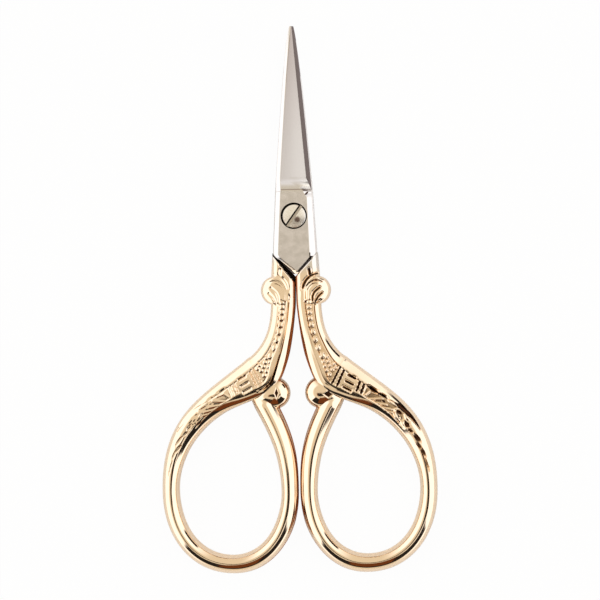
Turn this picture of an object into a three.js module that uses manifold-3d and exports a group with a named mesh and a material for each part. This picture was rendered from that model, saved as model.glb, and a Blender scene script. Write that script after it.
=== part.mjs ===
// Embroidery scissors: two crossed halves that turn on one slotted screw.
// Each half is a polished blade on a gilt handle with a knob, a stop and a finger bow.
// Millimetres, +Z up along the pivot, +Y towards the tips. The scissors lie on Z = 0.
import * as THREE from "three";
import { mergeVertices } from "three/addons/utils/BufferGeometryUtils.js";
import Module from "manifold-3d";

const wasm = await Module();
wasm.setup();

// Blade: reaches are measured from the pivot, half widths from the long axis.
const TIP_REACH = 30.9;
const HEEL_REACH = 4.3; // where the ground blade ends and the thick joint block starts
const HEEL_RAMP = 1.3; // length of the ground curve up to the joint block
const HEEL_STEP = 0.4; // ground face below the block's face
const TIP_SPINE = 0.33;
const TIP_EDGE = 0.17;
const HEEL_SPINE = 3.0;
const HEEL_EDGE = 2.37;
const SPINE_BELLY = 0.73; // exponent of the spine's curve: 1 is straight, less is fuller
const TIP_RIDGE = 0.55; // height of the blade's ridge over its inner face
const SPINE_BEVEL = 0.9; // width of the bevel along the spine, at the heel
const TIP_BEVEL = 0.22;
const SPINE_WALL = 0.55; // share of the ridge's height that the spine's side wall takes
const EDGE_LAND = 0.12; // height and width of the whetted face at the cutting edge

// Joint block, the thick flat part of each half around the pivot.
const BLOCK_THICKNESS = 2.1;
const BLOCK_EDGE_HEEL = 2.9;
const BLOCK_SPINE_ROOT = 3.55;
const BLOCK_EDGE_ROOT = 3.4;
const BLOCK_ROOT = 5.6; // pivot to where the root's half widths are measured
const BLOCK_BEVEL = 0.9;
const BLOCK_BEVEL_DEPTH = 0.75;
const POINT_REACH = 9.7; // pivot to the point of the V under the block
const POINT_ANGLE = THREE.MathUtils.degToRad(47);
const FACE_GAP = 0.1; // between the two halves' inner faces
const SHOULDER_GAP = 0.3; // between a block and the other half's handle
const SEAM = 0.02; // between a blade and its own handle, where the plating ends

// Pivot screw.
const HEAD_RADIUS = 2.0;
const HEAD_HEIGHT = 0.95;
const HEAD_CROWN = 0.18; // how far the head domes above its rim
const HEAD_GAP = 0.14;
const SCREW_RADIUS = 1.2;
const SCREW_GAP = 0.06;
const SLOT_WIDTH = 0.7;
const SLOT_DEPTH = 0.5;
const SLOT_ANGLE = THREE.MathUtils.degToRad(54);
const HEAD_SUNK = 0.1; // rim of the head below the block's face

// Handle: widths across the arm in plan.
const HANDLE_RELIEF = 0.1; // the handle's faces lie this far inside the blocks' outer faces
const SHANK_GAP = 0.25; // long axis to the inner side of the shank
const ROOT_WIDTH = 3.4;
const NECK_REACH = 14.0;
const NECK_WIDTH = 3.8;
const ELBOW_WIDTH = 6.45;
const ARM_SLOPE = THREE.MathUtils.degToRad(-37); // the arm's heading where it passes the stop
const KNOB_REACH = 12.0;
const KNOB_RADIUS = 2.3;
const KNOB_INSET = 0.85; // inner side of the shank to the knob's near side
const STOP_REACH = 28.65;
const STOP_RADIUS = 2.6;
const STOP_GAP = 1.2; // long axis to the stop's near side
const STOP_DROP = 0.55; // centre of the stop below the arm's lower side

// Finger bow.
const BOW_REACH = 57.95; // pivot to the far end of the bow
const BOW_SPREAD = 22.5; // long axis to the outer side of the bow
const BOW_WIDEST = 44.5; // pivot to the level where the bow is widest
const BOW_GAP = 0.12; // long axis to the inner side of the bow
const BOW_OUTER_WIDTH = 2.9;
const BOW_FOOT_WIDTH = 3.1;
const BOW_INNER_WIDTH = 3.0;
const BOW_TOP_WIDTH = 3.65;
const BRANCH_OUT = 1.4; // the bow's return starts this far outward of the stop's centre
const BRANCH_DROP = 2.1; // and this far below it
const TAIL = 2.7; // the return runs on this far into the stop and the arm
const TAIL_WIDTH = 3.3;
const TAIL_THICKNESS = 2.6;
const TAIL_ROOT = 1.2; // how far back inside the return the tail starts
const BOW_LEAN = 0.5; // the bow's foot is this much nearer the long axis than its middle
const BOW_RELIEF = 0.2; // the bow's faces lie this far inside the blocks' outer faces

// Fullness of the handle's curves. A lead is how far a curve keeps to the heading of its end.
const NECK_LEAD = 3.1;
const ELBOW_LEAD_IN = 3.6;
const ELBOW_LEAD_OUT = 5.3;
const BOW_LEAD = 13.3;
const BOW_ROUNDNESS = 0.6; // lead of the bow's lower quarters, as a share of their reach
const BRANCH_LEAD_IN = 4.9;
const BRANCH_LEAD_OUT = 6.4;
const BRANCH_HEADING = THREE.MathUtils.degToRad(62);
const ELBOW_SWELL = 1.5; // exponent of the shank's widening: more keeps it slim for longer
const ARM_TAPER = 1.3; // exponent of the arm's narrowing: more narrows it sooner
const FLAT_SECTION = 2.8; // exponent of the arm's section: 2 is an ellipse, more is squarer
const ROUND_SECTION = 2.1;

// Fineness of the facets.
const RING_POINTS = 18;
const STEPS_PER_SPAN = 12;
const BALL_AROUND = 24;
const BALL_DOWN = 14;
const ROUND_SIDES = 48;
const BLADE_STEPS = 9;
const TIP_CROWDING = 1.4; // exponent that draws the blade's sections together at the tip
const HEEL_STEPS = 4;
const CROWN_STEPS = 4;
const MARGIN = 2; // how far a cutting block runs past what it cuts
const SAME_POINT = 1e-5; // corners closer than this are one

const LIFT = BLOCK_THICKNESS + FACE_GAP / 2; // shear plane to the outer face of either block
const HANDLE_THICKNESS = 2 * (LIFT - HANDLE_RELIEF);
const BOW_THICKNESS = 2 * (LIFT - BOW_RELIEF);
const HEAD_RIM = LIFT - HEAD_SUNK;
const HEAD_SEAT = HEAD_RIM - HEAD_HEIGHT;

const steel = new THREE.MeshStandardMaterial({ color: 0xd5cdc7, roughness: 0.18, metalness: 1 });
const gilt = new THREE.MeshStandardMaterial({ color: 0xe8c59a, roughness: 0.14, metalness: 1 });
const screwSteel = new THREE.MeshStandardMaterial({ color: 0xd8d0c6, roughness: 0.22, metalness: 1 });

// A closed geometry as a solid that can be joined and cut.
function solidOf(geometry) {
  const bare = new THREE.BufferGeometry().setAttribute("position", geometry.getAttribute("position"));
  bare.setIndex(geometry.getIndex());
  const merged = mergeVertices(bare, SAME_POINT);
  return new wasm.Manifold(new wasm.Mesh({
    numProp: 3,
    vertProperties: new Float32Array(merged.getAttribute("position").array),
    triVerts: new Uint32Array(merged.getIndex().array),
  }));
}

// A solid as a geometry with flat facets.
function geometryOf(solid) {
  const mesh = solid.getMesh();
  const geometry = new THREE.BufferGeometry();
  geometry.setAttribute("position", new THREE.BufferAttribute(new Float32Array(mesh.vertProperties), 3));
  geometry.setIndex(new THREE.BufferAttribute(new Uint32Array(mesh.triVerts), 1));
  const faceted = geometry.toNonIndexed();
  faceted.computeVertexNormals();
  return faceted;
}

// A closed skin over convex rings of equally many points, each anticlockwise seen from the next one.
function loft(rings) {
  const count = rings[0].length;
  const index = [];
  for (let r = 0; r + 1 < rings.length; r++) {
    for (let i = 0; i < count; i++) {
      const a = r * count + i;
      const b = r * count + ((i + 1) % count);
      index.push(a, b, b + count, a, b + count, a + count);
    }
  }
  const last = (rings.length - 1) * count;
  for (let i = 1; i + 1 < count; i++) {
    index.push(0, i + 1, i, last, last + i, last + i + 1);
  }
  const geometry = new THREE.BufferGeometry().setFromPoints(rings.flat());
  geometry.setIndex(index);
  return geometry;
}

function cylinder(radius, bottom, top) {
  const geometry = new THREE.CylinderGeometry(radius, radius, top - bottom, ROUND_SIDES);
  return solidOf(geometry.rotateX(Math.PI / 2).translate(0, 0, (bottom + top) / 2));
}

// An ellipsoid: a ball of the given radius in plan, flattened along Z.
function flatBall(centre, radius, thickness) {
  const geometry = new THREE.SphereGeometry(radius, BALL_AROUND, BALL_DOWN).rotateX(Math.PI / 2);
  return solidOf(geometry.scale(1, 1, thickness / 2 / radius).translate(centre.x, centre.y, 0));
}

// A block that fills everything on the left of the line from a point along a heading, seen from above.
function leftOf(point, heading) {
  const size = 2 * TIP_REACH;
  const geometry = new THREE.BoxGeometry(2 * size, size, 2 * (LIFT + MARGIN)).translate(0, size / 2, 0);
  return solidOf(geometry.rotateZ(heading).translate(point.x, point.y, 0));
}

const mix = THREE.MathUtils.lerp;

// The two edges of the V under the block, as a point on each and its heading.
const vPoint = new THREE.Vector2(SHANK_GAP, -POINT_REACH);
const freeEdge = { point: vPoint, heading: Math.PI - POINT_ANGLE };
const wallNormal = new THREE.Vector2(Math.sin(POINT_ANGLE), -Math.cos(POINT_ANGLE));
const shoulder = {
  point: new THREE.Vector2(-vPoint.x, vPoint.y).addScaledVector(wallNormal, SHOULDER_GAP),
  heading: POINT_ANGLE,
};

// Section of the blade: inner face, whetted edge, ground face in two strips, spine bevel and spine wall.
function bladeSection(y) {
  const back = (TIP_REACH - y) / (TIP_REACH - HEEL_REACH); // 0 at the tip, 1 at the heel
  const spine = -mix(TIP_SPINE, HEEL_SPINE, Math.pow(back, SPINE_BELLY));
  const edge = mix(TIP_EDGE, HEEL_EDGE, back);
  const ridge = mix(TIP_RIDGE, BLOCK_THICKNESS - HEEL_STEP, back);
  const crest = spine + mix(TIP_BEVEL, SPINE_BEVEL, Math.pow(back, SPINE_BELLY));
  return [
    new THREE.Vector2(spine, 0),
    new THREE.Vector2(edge, 0),
    new THREE.Vector2(edge - EDGE_LAND, EDGE_LAND),
    new THREE.Vector2((edge - EDGE_LAND + crest) / 2, (EDGE_LAND + ridge) / 2),
    new THREE.Vector2(crest, ridge),
    new THREE.Vector2(spine, ridge * SPINE_WALL),
  ];
}

// Section of the block, with a bevel along each side.
function blockSection(y) {
  const below = (HEEL_REACH - y) / (HEEL_REACH + BLOCK_ROOT); // 0 at the heel, 1 at the root
  const spine = -mix(HEEL_SPINE, BLOCK_SPINE_ROOT, below);
  const edge = mix(BLOCK_EDGE_HEEL, BLOCK_EDGE_ROOT, below);
  const wall = BLOCK_THICKNESS - BLOCK_BEVEL_DEPTH;
  return [
    new THREE.Vector2(spine, 0),
    new THREE.Vector2(edge, 0),
    new THREE.Vector2(edge, wall),
    new THREE.Vector2(edge - BLOCK_BEVEL, BLOCK_THICKNESS),
    new THREE.Vector2(spine + BLOCK_BEVEL, BLOCK_THICKNESS),
    new THREE.Vector2(spine, wall),
  ];
}

// Section of the hollow curve from the ground blade up to the block, with a rise of 0 to 1.
function heelSection(y, rise) {
  const hollow = 1 - Math.sqrt(1 - rise * rise);
  const block = blockSection(y);
  return bladeSection(y).map((point, i) => point.lerp(block[i], hollow));
}

// A section as a ring across the long axis, raised so that its inner face clears the other half.
function ringAt(y, section) {
  return section.map((point) => new THREE.Vector3(point.x, y, point.y + FACE_GAP / 2));
}

// Blade and joint block of one half, without the screw's holes.
function bladeBlank() {
  const rampTop = HEEL_REACH + HEEL_RAMP;
  const rings = [];
  for (let i = 0; i < BLADE_STEPS; i++) {
    const y = mix(TIP_REACH, rampTop, Math.pow(i / BLADE_STEPS, TIP_CROWDING));
    rings.push(ringAt(y, bladeSection(y)));
  }
  for (let i = 0; i <= HEEL_STEPS; i++) {
    const y = mix(rampTop, HEEL_REACH, i / HEEL_STEPS);
    rings.push(ringAt(y, heelSection(y, i / HEEL_STEPS)));
  }
  const end = -POINT_REACH - MARGIN;
  rings.push(ringAt(end, blockSection(end)));
  const seat = shoulder.point.clone().addScaledVector(wallNormal, -SEAM);
  return solidOf(loft(rings))
    .intersect(leftOf(seat, shoulder.heading))
    .subtract(leftOf(freeEdge.point, freeEdge.heading));
}

function frontBlade() {
  return bladeBlank()
    .subtract(cylinder(SCREW_RADIUS + SCREW_GAP, -MARGIN, LIFT + MARGIN))
    .subtract(cylinder(HEAD_RADIUS + HEAD_GAP, HEAD_SEAT - SCREW_GAP, LIFT + MARGIN));
}

function rearBlade() {
  return bladeBlank().subtract(cylinder(SCREW_RADIUS + SCREW_GAP, -MARGIN, LIFT + MARGIN));
}

const stopCentre = new THREE.Vector2(STOP_GAP + STOP_RADIUS, -STOP_REACH);
const knobCentre = new THREE.Vector2(SHANK_GAP + KNOB_INSET + KNOB_RADIUS, -KNOB_REACH);
const down = new THREE.Vector2(0, -1);
const up = new THREE.Vector2(0, 1);
const left = new THREE.Vector2(-1, 0);

const smooth = (t) => THREE.MathUtils.smoothstep(t, 0, 1);
const swelling = (t) => Math.pow(smooth(t), ELBOW_SWELL);
const tapering = (t) => 1 - Math.pow(1 - t, ARM_TAPER);

// Where the bow's return ends on the arm, and its heading there.
const returnHeading = new THREE.Vector2(Math.cos(BRANCH_HEADING), Math.sin(BRANCH_HEADING));
const returnEnd = new THREE.Vector2(stopCentre.x + BRANCH_OUT, stopCentre.y - BRANCH_DROP);

// The stretches of the handle's line, each a curve with the width, thickness and section at its two ends.
function handleSpans() {
  const rootTop = shoulder.point.y + (SHANK_GAP + ROOT_WIDTH + MARGIN) * Math.tan(POINT_ANGLE);
  const root = new THREE.Vector2(SHANK_GAP + ROOT_WIDTH / 2, rootTop);
  const neck = new THREE.Vector2(SHANK_GAP + NECK_WIDTH / 2, -NECK_REACH);
  const along = new THREE.Vector2(Math.cos(ARM_SLOPE), Math.sin(ARM_SLOPE));
  const across = new THREE.Vector2(-along.y, along.x);
  const elbow = stopCentre.clone().addScaledVector(across, ELBOW_WIDTH / 2 + STOP_DROP);
  const outer = new THREE.Vector2(BOW_SPREAD - BOW_OUTER_WIDTH / 2, -BOW_WIDEST);
  const inner = new THREE.Vector2(BOW_GAP + BOW_INNER_WIDTH / 2, -BOW_WIDEST);
  const foot = new THREE.Vector2((outer.x + inner.x) / 2 - BOW_LEAN, BOW_FOOT_WIDTH / 2 - BOW_REACH);
  const drop = (outer.y - foot.y) * BOW_ROUNDNESS;
  const outward = (outer.x - foot.x) * BOW_ROUNDNESS;
  const inward = (foot.x - inner.x) * BOW_ROUNDNESS;
  const armEnd = (width) => ({ width, thickness: HANDLE_THICKNESS, section: FLAT_SECTION });
  const atNeck = armEnd(NECK_WIDTH);
  const atElbow = armEnd(ELBOW_WIDTH);
  const atOuter = bowEnd(BOW_OUTER_WIDTH);
  const atFoot = bowEnd(BOW_FOOT_WIDTH);
  const atInner = bowEnd(BOW_INNER_WIDTH);
  return [
    span(root, down, NECK_LEAD, neck, down, NECK_LEAD, armEnd(ROOT_WIDTH), atNeck),
    span(neck, down, NECK_LEAD, elbow, along, ELBOW_LEAD_IN, atNeck, atElbow, swelling),
    span(elbow, along, ELBOW_LEAD_OUT, outer, down, BOW_LEAD, atElbow, atOuter, tapering),
    span(outer, down, drop, foot, left, outward, atOuter, atFoot),
    span(foot, left, inward, inner, up, drop, atFoot, atInner),
    span(inner, up, BRANCH_LEAD_IN, returnEnd, returnHeading, BRANCH_LEAD_OUT, atInner, bowEnd(BOW_TOP_WIDTH)),
  ];
}

function bowEnd(width) {
  return { width, thickness: BOW_THICKNESS, section: ROUND_SECTION };
}

// The end of the bow's return, which runs out inside the stop and the arm.
function tail() {
  const from = returnEnd.clone().addScaledVector(returnHeading, -TAIL_ROOT);
  const to = returnEnd.clone().addScaledVector(returnHeading, TAIL);
  const lead = (TAIL_ROOT + TAIL) / 3;
  const end = { width: TAIL_WIDTH, thickness: TAIL_THICKNESS, section: ROUND_SECTION };
  const stretch = span(from, returnHeading, lead, to, returnHeading, lead, end, end);
  return solidOf(loft([handleRing(stretch, 0), handleRing(stretch, 1)]));
}

// A curve from one point and heading to another, with what its two ends are like and how the width changes.
function span(from, fromHeading, fromLead, to, toHeading, toLead, start, end, widening = smooth) {
  const curve = new THREE.CubicBezierCurve(
    from,
    from.clone().addScaledVector(fromHeading, fromLead),
    to.clone().addScaledVector(toHeading, -toLead),
    to,
  );
  return { curve, start, end, widening };
}

// A ring of points square to the handle's line: an ellipse drawn out towards a rectangle by its exponent.
function handleRing({ curve, start, end, widening }, t) {
  const at = curve.getPoint(t);
  const tangent = curve.getTangent(t);
  const ease = smooth(t);
  const halfWidth = mix(start.width, end.width, widening(t)) / 2;
  const halfThickness = mix(start.thickness, end.thickness, ease) / 2;
  const power = 2 / mix(start.section, end.section, ease);
  const swell = (value) => Math.sign(value) * Math.pow(Math.abs(value), power);
  return Array.from({ length: RING_POINTS }, (_, i) => {
    const turn = (2 * Math.PI * (i + 0.5)) / RING_POINTS;
    const side = halfWidth * swell(Math.cos(turn));
    return new THREE.Vector3(
      at.x - tangent.y * side,
      at.y + tangent.x * side,
      halfThickness * swell(Math.sin(turn)),
    );
  });
}

// Handle of one half: shank, arm and bow along one line, with the knob and the stop.
function handle() {
  const spans = handleSpans();
  const rings = [handleRing(spans[0], 0)];
  for (const stretch of spans) {
    for (let i = 1; i <= STEPS_PER_SPAN; i++) {
      rings.push(handleRing(stretch, i / STEPS_PER_SPAN));
    }
  }
  return solidOf(loft(rings))
    .add(flatBall(knobCentre, KNOB_RADIUS, HANDLE_THICKNESS))
    .add(flatBall(stopCentre, STOP_RADIUS, BOW_THICKNESS))
    .add(tail())
    .subtract(leftOf(shoulder.point, shoulder.heading));
}

// Slotted screw: its head lies in the front block, its stem ends level with the back of the rear block.
function pivotScrew() {
  const profile = [
    new THREE.Vector2(0, -LIFT),
    new THREE.Vector2(SCREW_RADIUS, -LIFT),
    new THREE.Vector2(SCREW_RADIUS, HEAD_SEAT),
    new THREE.Vector2(HEAD_RADIUS, HEAD_SEAT),
  ];
  for (let i = 0; i < CROWN_STEPS; i++) {
    const climb = (i / CROWN_STEPS) * (Math.PI / 2);
    profile.push(new THREE.Vector2(HEAD_RADIUS * Math.cos(climb), HEAD_RIM + HEAD_CROWN * Math.sin(climb)));
  }
  profile.push(new THREE.Vector2(0, HEAD_RIM + HEAD_CROWN));
  const turned = solidOf(new THREE.LatheGeometry(profile, ROUND_SIDES).rotateX(Math.PI / 2));
  const slotTop = HEAD_RIM + HEAD_CROWN + MARGIN;
  const slotFloor = HEAD_RIM + HEAD_CROWN - SLOT_DEPTH;
  const slot = new THREE.BoxGeometry(2 * HEAD_RADIUS + MARGIN, SLOT_WIDTH, slotTop - slotFloor)
    .rotateZ(SLOT_ANGLE)
    .translate(0, 0, (slotTop + slotFloor) / 2);
  return turned.subtract(solidOf(slot));
}

function piece(name, solid, material) {
  const mesh = new THREE.Mesh(geometryOf(solid), material);
  mesh.name = name;
  return mesh;
}

// The rear half is the front half turned over about the long axis.
const frontHalf = new THREE.Group();
frontHalf.add(piece("front_blade", frontBlade(), steel), piece("front_handle", handle(), gilt));

const rearHalf = new THREE.Group();
rearHalf.rotation.y = Math.PI;
rearHalf.add(piece("rear_blade", rearBlade(), steel), piece("rear_handle", handle(), gilt));

const scissors = new THREE.Group();
scissors.position.z = LIFT;
scissors.add(frontHalf, rearHalf, piece("pivot_screw", pivotScrew(), screwSteel));

export default scissors;
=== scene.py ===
"""Embroidery scissors: two nickel blades on gilt handles with struck ornament, joined by a slotted screw.

Sizes are in millimetres about the pivot, with the plane between the halves at z = 0, and become metres
where a mesh is made. Each half is made as the front one, and the rear one is turned over about the long
axis.
"""
from functools import cache
from math import atan2, copysign, cos, pi, radians, sin, sqrt, tan

import bpy
import numpy as np
from mathutils import Matrix, Vector
from mathutils.kdtree import KDTree


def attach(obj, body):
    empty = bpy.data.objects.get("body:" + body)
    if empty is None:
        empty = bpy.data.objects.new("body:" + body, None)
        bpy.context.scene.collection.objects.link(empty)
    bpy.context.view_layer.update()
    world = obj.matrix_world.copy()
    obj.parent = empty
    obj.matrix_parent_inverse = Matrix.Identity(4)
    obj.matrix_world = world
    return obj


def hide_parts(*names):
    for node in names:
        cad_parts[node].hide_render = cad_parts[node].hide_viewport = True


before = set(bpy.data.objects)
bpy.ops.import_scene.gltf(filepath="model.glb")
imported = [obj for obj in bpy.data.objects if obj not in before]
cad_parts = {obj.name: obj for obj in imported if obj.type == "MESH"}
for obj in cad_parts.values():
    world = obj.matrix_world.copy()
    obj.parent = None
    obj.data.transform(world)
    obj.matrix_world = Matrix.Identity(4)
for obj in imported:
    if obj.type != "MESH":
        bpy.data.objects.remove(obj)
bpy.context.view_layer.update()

MM = 0.001

# Blade: reaches are measured from the pivot, half widths from the long axis.
TIP_REACH = 30.9
HEEL_REACH = 4.0
HEEL_RAMP = 2.3  # over which the blade's sides run out to the block's
HEEL_STEEP = 1.6  # over which the blade's face climbs to the block's
HEEL_CREASE = 0.25  # how sharply that climb starts, from 0 for a hollow to 1 for a straight ramp
HEEL_FLARE = 0.9
HEEL_ROUND = 0.16
TIP_SPINE = 0.33
TIP_EDGE = 0.07
HEEL_SPINE = 3.0
HEEL_EDGE = 2.2
SPINE_BELLY = 0.73
SPINE_BEVEL = 0.7
TIP_BEVEL = 0.27
SPINE_WALL = (0.5, 0.7)  # height of the spine's wall as a share of the ridge's, at the tip and the heel
EDGE_LAND = 0.1
TIP_GRIND = radians(13)
HEEL_GRIND = radians(20.5)
GRIND_BELLY = 0.008  # rise of the ground face over a flat one, as a share of its width

# Joint block and the V under it.
BLOCK_THICKNESS = 2.1
BLOCK_EDGE_HEEL = 2.9
BLOCK_SPINE_ROOT = 3.55
BLOCK_EDGE_ROOT = 3.4
BLOCK_ROOT = 5.6
SPINE_SIDE_BEVEL = 0.86
SPINE_SOFTNESS = 0.4  # rounding in plan where the spine's side meets the V
EDGE_SIDE_BEVEL = 0.72
EDGE_ROOT_BEVEL = 0.92
BEVEL_DEPTH = 0.62
BEVEL_ROOM = 0.48  # the most that one bevel takes of the block's width
LEAST_BEVEL = 0.05
FREE_EDGE_BEVEL = 0.75
FREE_DEPTH = 0.36
FREE_RISE = 0.12
FREE_LEAD = 1.0  # how far outside the spine the free edge lies where the bevel starts to change into its own
FREE_RUN = 1.5
SEAT_BEVEL = 0.45
SEAT_DEPTH = 0.2
SEAT_GAP = 0.03
SEAT_RUN = 0.25
SEAT_SOFTNESS = 0.1
HEEL_CORNER = 3.0  # below this the flat keeps its width, above it the corner by the edge is cut off
CORNER_CUT = 0.55
POINT_REACH = 9.7
POINT_ANGLE = radians(47)
FREE_ANGLE = radians(40)
V_REACH = 9.35
FACE_GAP = 0.1
SHOULDER_GAP = 0.3
CLEARANCE_DROP = 1.0  # how much lower the shoulder lies where the other blade passes over it
CLEARANCE_ANGLE = radians(51)
LIFT = BLOCK_THICKNESS + FACE_GAP / 2

# Rounding of a section's six corners, from the spine's foot round by the edge.
CORNER_RADII = (0.2, 0.012, 0.03, 0.1, 0.1, 0.12)
FACE_CORNER = 3
SPINE_CORNER = 5
BELLY_RADIUS = 1.5
BLOCK_SPINE_ROUND = 0.34
ROUNDING_ROOM = 0.4  # the most that a rounding takes of a side

# Pivot screw.
HEAD_RADIUS = 2.0
HEAD_HEIGHT = 0.95
HEAD_CROWN = 0.17
HEAD_GAP = 0.14
HEAD_SUNK = 0.1
HEAD_ROUND = 0.12
SCREW_RADIUS = 1.2
SCREW_GAP = 0.06
SCREW_CHAMFER = 0.1
SLOT_WIDTH = 0.62
SLOT_DEPTH = 0.5
SLOT_ANGLE = radians(54)
HEAD_RIM = LIFT - HEAD_SUNK
HEAD_SEAT = HEAD_RIM - HEAD_HEIGHT

# Handle. A curve is given as (distance along the handle's line from the neck, value) pairs.
HANDLE_RELIEF = 0.1
SHANK_GAP = 0.25
ROOT_WIDTH = 3.4
ROOT_SPARE = 2.0  # lets the root run on past the shoulder, which cuts it off
NECK_REACH = 14.0
NECK_WIDTH = 3.8
ELBOW_WIDTH = 6.45
ARM_SLOPE = radians(-37)
KNOB_REACH = 12.08
KNOB_RADIUS = 2.3
KNOB_INSET = 0.85
KNOB_ENDS = 2.0  # distance from the neck past which the knob adds nothing
STOP_REACH = 28.65
STOP_RADIUS = 2.6
STOP_GAP = 1.2
STOP_DROP = 0.55
BOW_REACH = 57.92
BOW_SPREAD = 22.47
BOW_WIDEST = 44.5
BOW_GAP = 0.12
BOW_OUTER_WIDTH = 2.9
BOW_FOOT_WIDTH = 3.1
BOW_INNER_WIDTH = 3.0
BOW_TOP_WIDTH = 3.65
BRANCH_OUT = 1.4
BRANCH_DROP = 2.1
BOW_LEAN = 0.5
BOW_RELIEF = 0.2
NECK_LEAD = 3.1
ELBOW_LEAD_IN = 3.6
ELBOW_LEAD_OUT = 5.3
BOW_LEAD = 13.3
BOW_ROUNDNESS = 0.6
BRANCH_LEAD_IN = 4.9
BRANCH_LEAD_OUT = 6.4
BRANCH_HEADING = radians(62)
TAIL = 2.7  # the branch's stretch inside the arm and the ball
TAIL_WIDTH = 3.3
TAIL_THICKNESS = 2.6
INNER_SWELL = (
    (-10, 0.17), (-1.5, 0.17), (0, 0.15), (1.5, 0.07), (4, -0.05), (7, -0.2), (10, -0.32), (12.6, 0),
    (17, 0), (20, -0.08), (23, 0.03), (27, 0.2), (32, 0.14), (36, -0.02), (43, 0.12), (49, 0.05),
    (52.5, -0.06), (56, -0.08), (60, 0.03), (67, 0), (72, -0.18), (77, -0.05),
)
OUTER_SWELL = (
    (-10, 0), (2, 0), (6, -0.16), (10, 0), (14.5, 0.2), (20, 0), (28, 0), (34, -0.08), (40, -0.1),
    (48, -0.12), (52.5, -0.05), (57, -0.02), (64, -0.12), (68, 0),
)
ELBOW_SWELL = 1.5  # exponents of the shank's widening and the arm's narrowing
ARM_TAPER = 1.3
FLAT_SECTION = 2.8  # exponents of the section's outline, flat-faced on the shank and round on the bow
ROUND_SECTION = 2.0
INNER_SQUARE = ((-10, 6), (-1, 5), (3, 2.2), (7, 0.5), (11.5, 3.2), (16, 3.2), (21, 0.3), (25, 0))
ROOT_SQUARE = 3.0
ROOT_FACE = (-4.6, -2.9)  # the stretch where the root's flat face and its bevel run out
RAIL_TILT = 0.28
RAIL_TILT_ENDS = (11, 14)
RAIL_FLAT = ((-10, 0.4), (3.6, 0.45), (7, 0.75), (9.5, 1.05), (11, 1.05), (13, 0.7))  # strip by the field
RAIL_CUT = ((-1, 0.12), (4, 0.12), (8, 0.16), (12.5, 0.24), (14.5, 0.2))  # half width of the line along it
RAIL_CUT_DEPTH = ((-1.5, 0), (-0.5, 0.16), (4, 0.2), (8, 0.3), (12.5, 0.42), (14.5, 0))
RAIL_FLAT_ROOM = 0.6  # the most that the strip and half its line take of the border
RAIL_CUT_ROOM = 0.3
FRONT_RAIL_CUT = 0.2  # the line's depth on a half's front face, as a share
CREST_SHIFT = 0.16  # how far the bow's crest lies from its middle, towards the finger hole
CREST_FROM = (27, 33)
SHOULDER_CHAMFER = 0.16
CHAMFER_FADE = 0.25
HANDLE_THICKNESS = 2 * (LIFT - HANDLE_RELIEF)
BOW_THICKNESS = 2 * (LIFT - BOW_RELIEF)

# Stop ball, with a shallow dimple struck into each face and a dark reflection painted into it.
BALL_SQUARE = 0.78
BALL_TAIL = 0.35  # how much further the ball reaches where it runs out between arm and branch
BALL_TAIL_TURN = radians(-22)
BALL_TAIL_SHARPNESS = 8
FRONT_DIMPLE = (1.25, -0.3, 0.9, 0.65)  # place from the ball's middle, half length and half width
BACK_DIMPLE = (-0.45, 0.05, 0.42, 1.1)
DIMPLE_DEPTH = 0.4
DIMPLE_SHARE = 0.3  # the rest of the depth is painted near black, as a painted dark reflection
DIMPLE_STEEPNESS = 2.5

# Struck ornament. Places are (distance along the handle's line, distance across it, outward positive).
OUTER_BAND = (
    (-10, 1.2), (-3, 1.2), (0, 0.94), (4, 0.94), (7, 1.02), (9.5, 1.36), (11, 1.57), (19.5, 1.56),
    (22.5, 1.2), (24.3, 0.68), (30.5, 0.74), (33, 1.05), (40, 1.05),
)
INNER_BAND = (
    (-10, 1.1), (0, 1.27), (3.6, 1.48), (6.9, 2.0), (9.5, 2.4), (11, 2.3), (12.5, 1.78), (17.5, 1.88),
    (19.5, 1.5), (21, 1.42), (23.8, 1.25), (25.8, 1.05), (27.6, 1.0), (30.5, 1.25), (40, 1.05),
)
LEAST_FIELD = 0.1
BACK_BORDER = ((-3, 0), (0, 0.28), (4, 0.42), (7, 0.45), (9.5, 0.2), (11, 0))  # what the back's field loses
BACK_STRIKE = (  # the back's share of the depth
    (-10, 0.3), (-3, 0.3), (-1, 0.33), (0.5, 0.5), (2, 0.62), (4, 0.62), (8, 0.62), (11, 0.62), (13, 0.58),
    (15, 0.54), (17, 0.46), (19, 0.28), (22, 0.25), (30, 0.25), (40, 0.25),
)
STRIKE_RIM = 0.06  # share of the width over which the ornament fades out at the handle's sides
FIELD_STARTS = (-0.6, 0.2)
FIELD_ENDS = (25.5, 27.5)
FIELD_DEPTH = 0.24
FIELD_WALL = 0.2
BORDER_CUT = (0.13, 0.12)  # half width and depth of the lines along the field's sides
BORDER_ENDS = 23.0
BEAD_COUNT = 9
BEAD_PITCH = (0.72, 0.05)  # first step between beads, and how much each next one grows
BEAD_RADIUS = (0.37, 0.022)
BEAD_ACROSS = (0.03, 0.2)  # of all beads but the last, and of the last
BEAD_FOOT = 1.15  # depth of a bead's foot as a share of the field's
BEAD_HEIGHT = 0.3
LATTICE_ROWS = (
    # first bead, last bead, count
    ((9.58, 0.79), (11.89, 0.33), 4), ((9.9, -0.07), (12.08, -0.59), 4), ((11.4, 1.18), (12.1, 0.98), 2),
)
LATTICE_BEAD = 0.31
BARS_FROM = 12.75
BARS_TO = 18.1
BAR_EDGE = 0.15
BAR_SLANT = 0.12
BAR_FILL = 0.85  # share of the field's depth that the bars fill
BAR_CUTS = (12.95, 13.8, 16.98, 17.77)
PANEL = (14.55, 16.35)
PANEL_EDGE = 0.2
PANEL_CUTS = (1.05, 0.0, -1.02)
PANEL_CUT_WIDTH = 0.28
CUT_WIDTH = 0.2
CUT_DEPTH = 0.42
LEAF_SINK = 0.14  # how much deeper the field lies under the leaves, as a share
LEAF_SINK_RUN = 0.4
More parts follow.
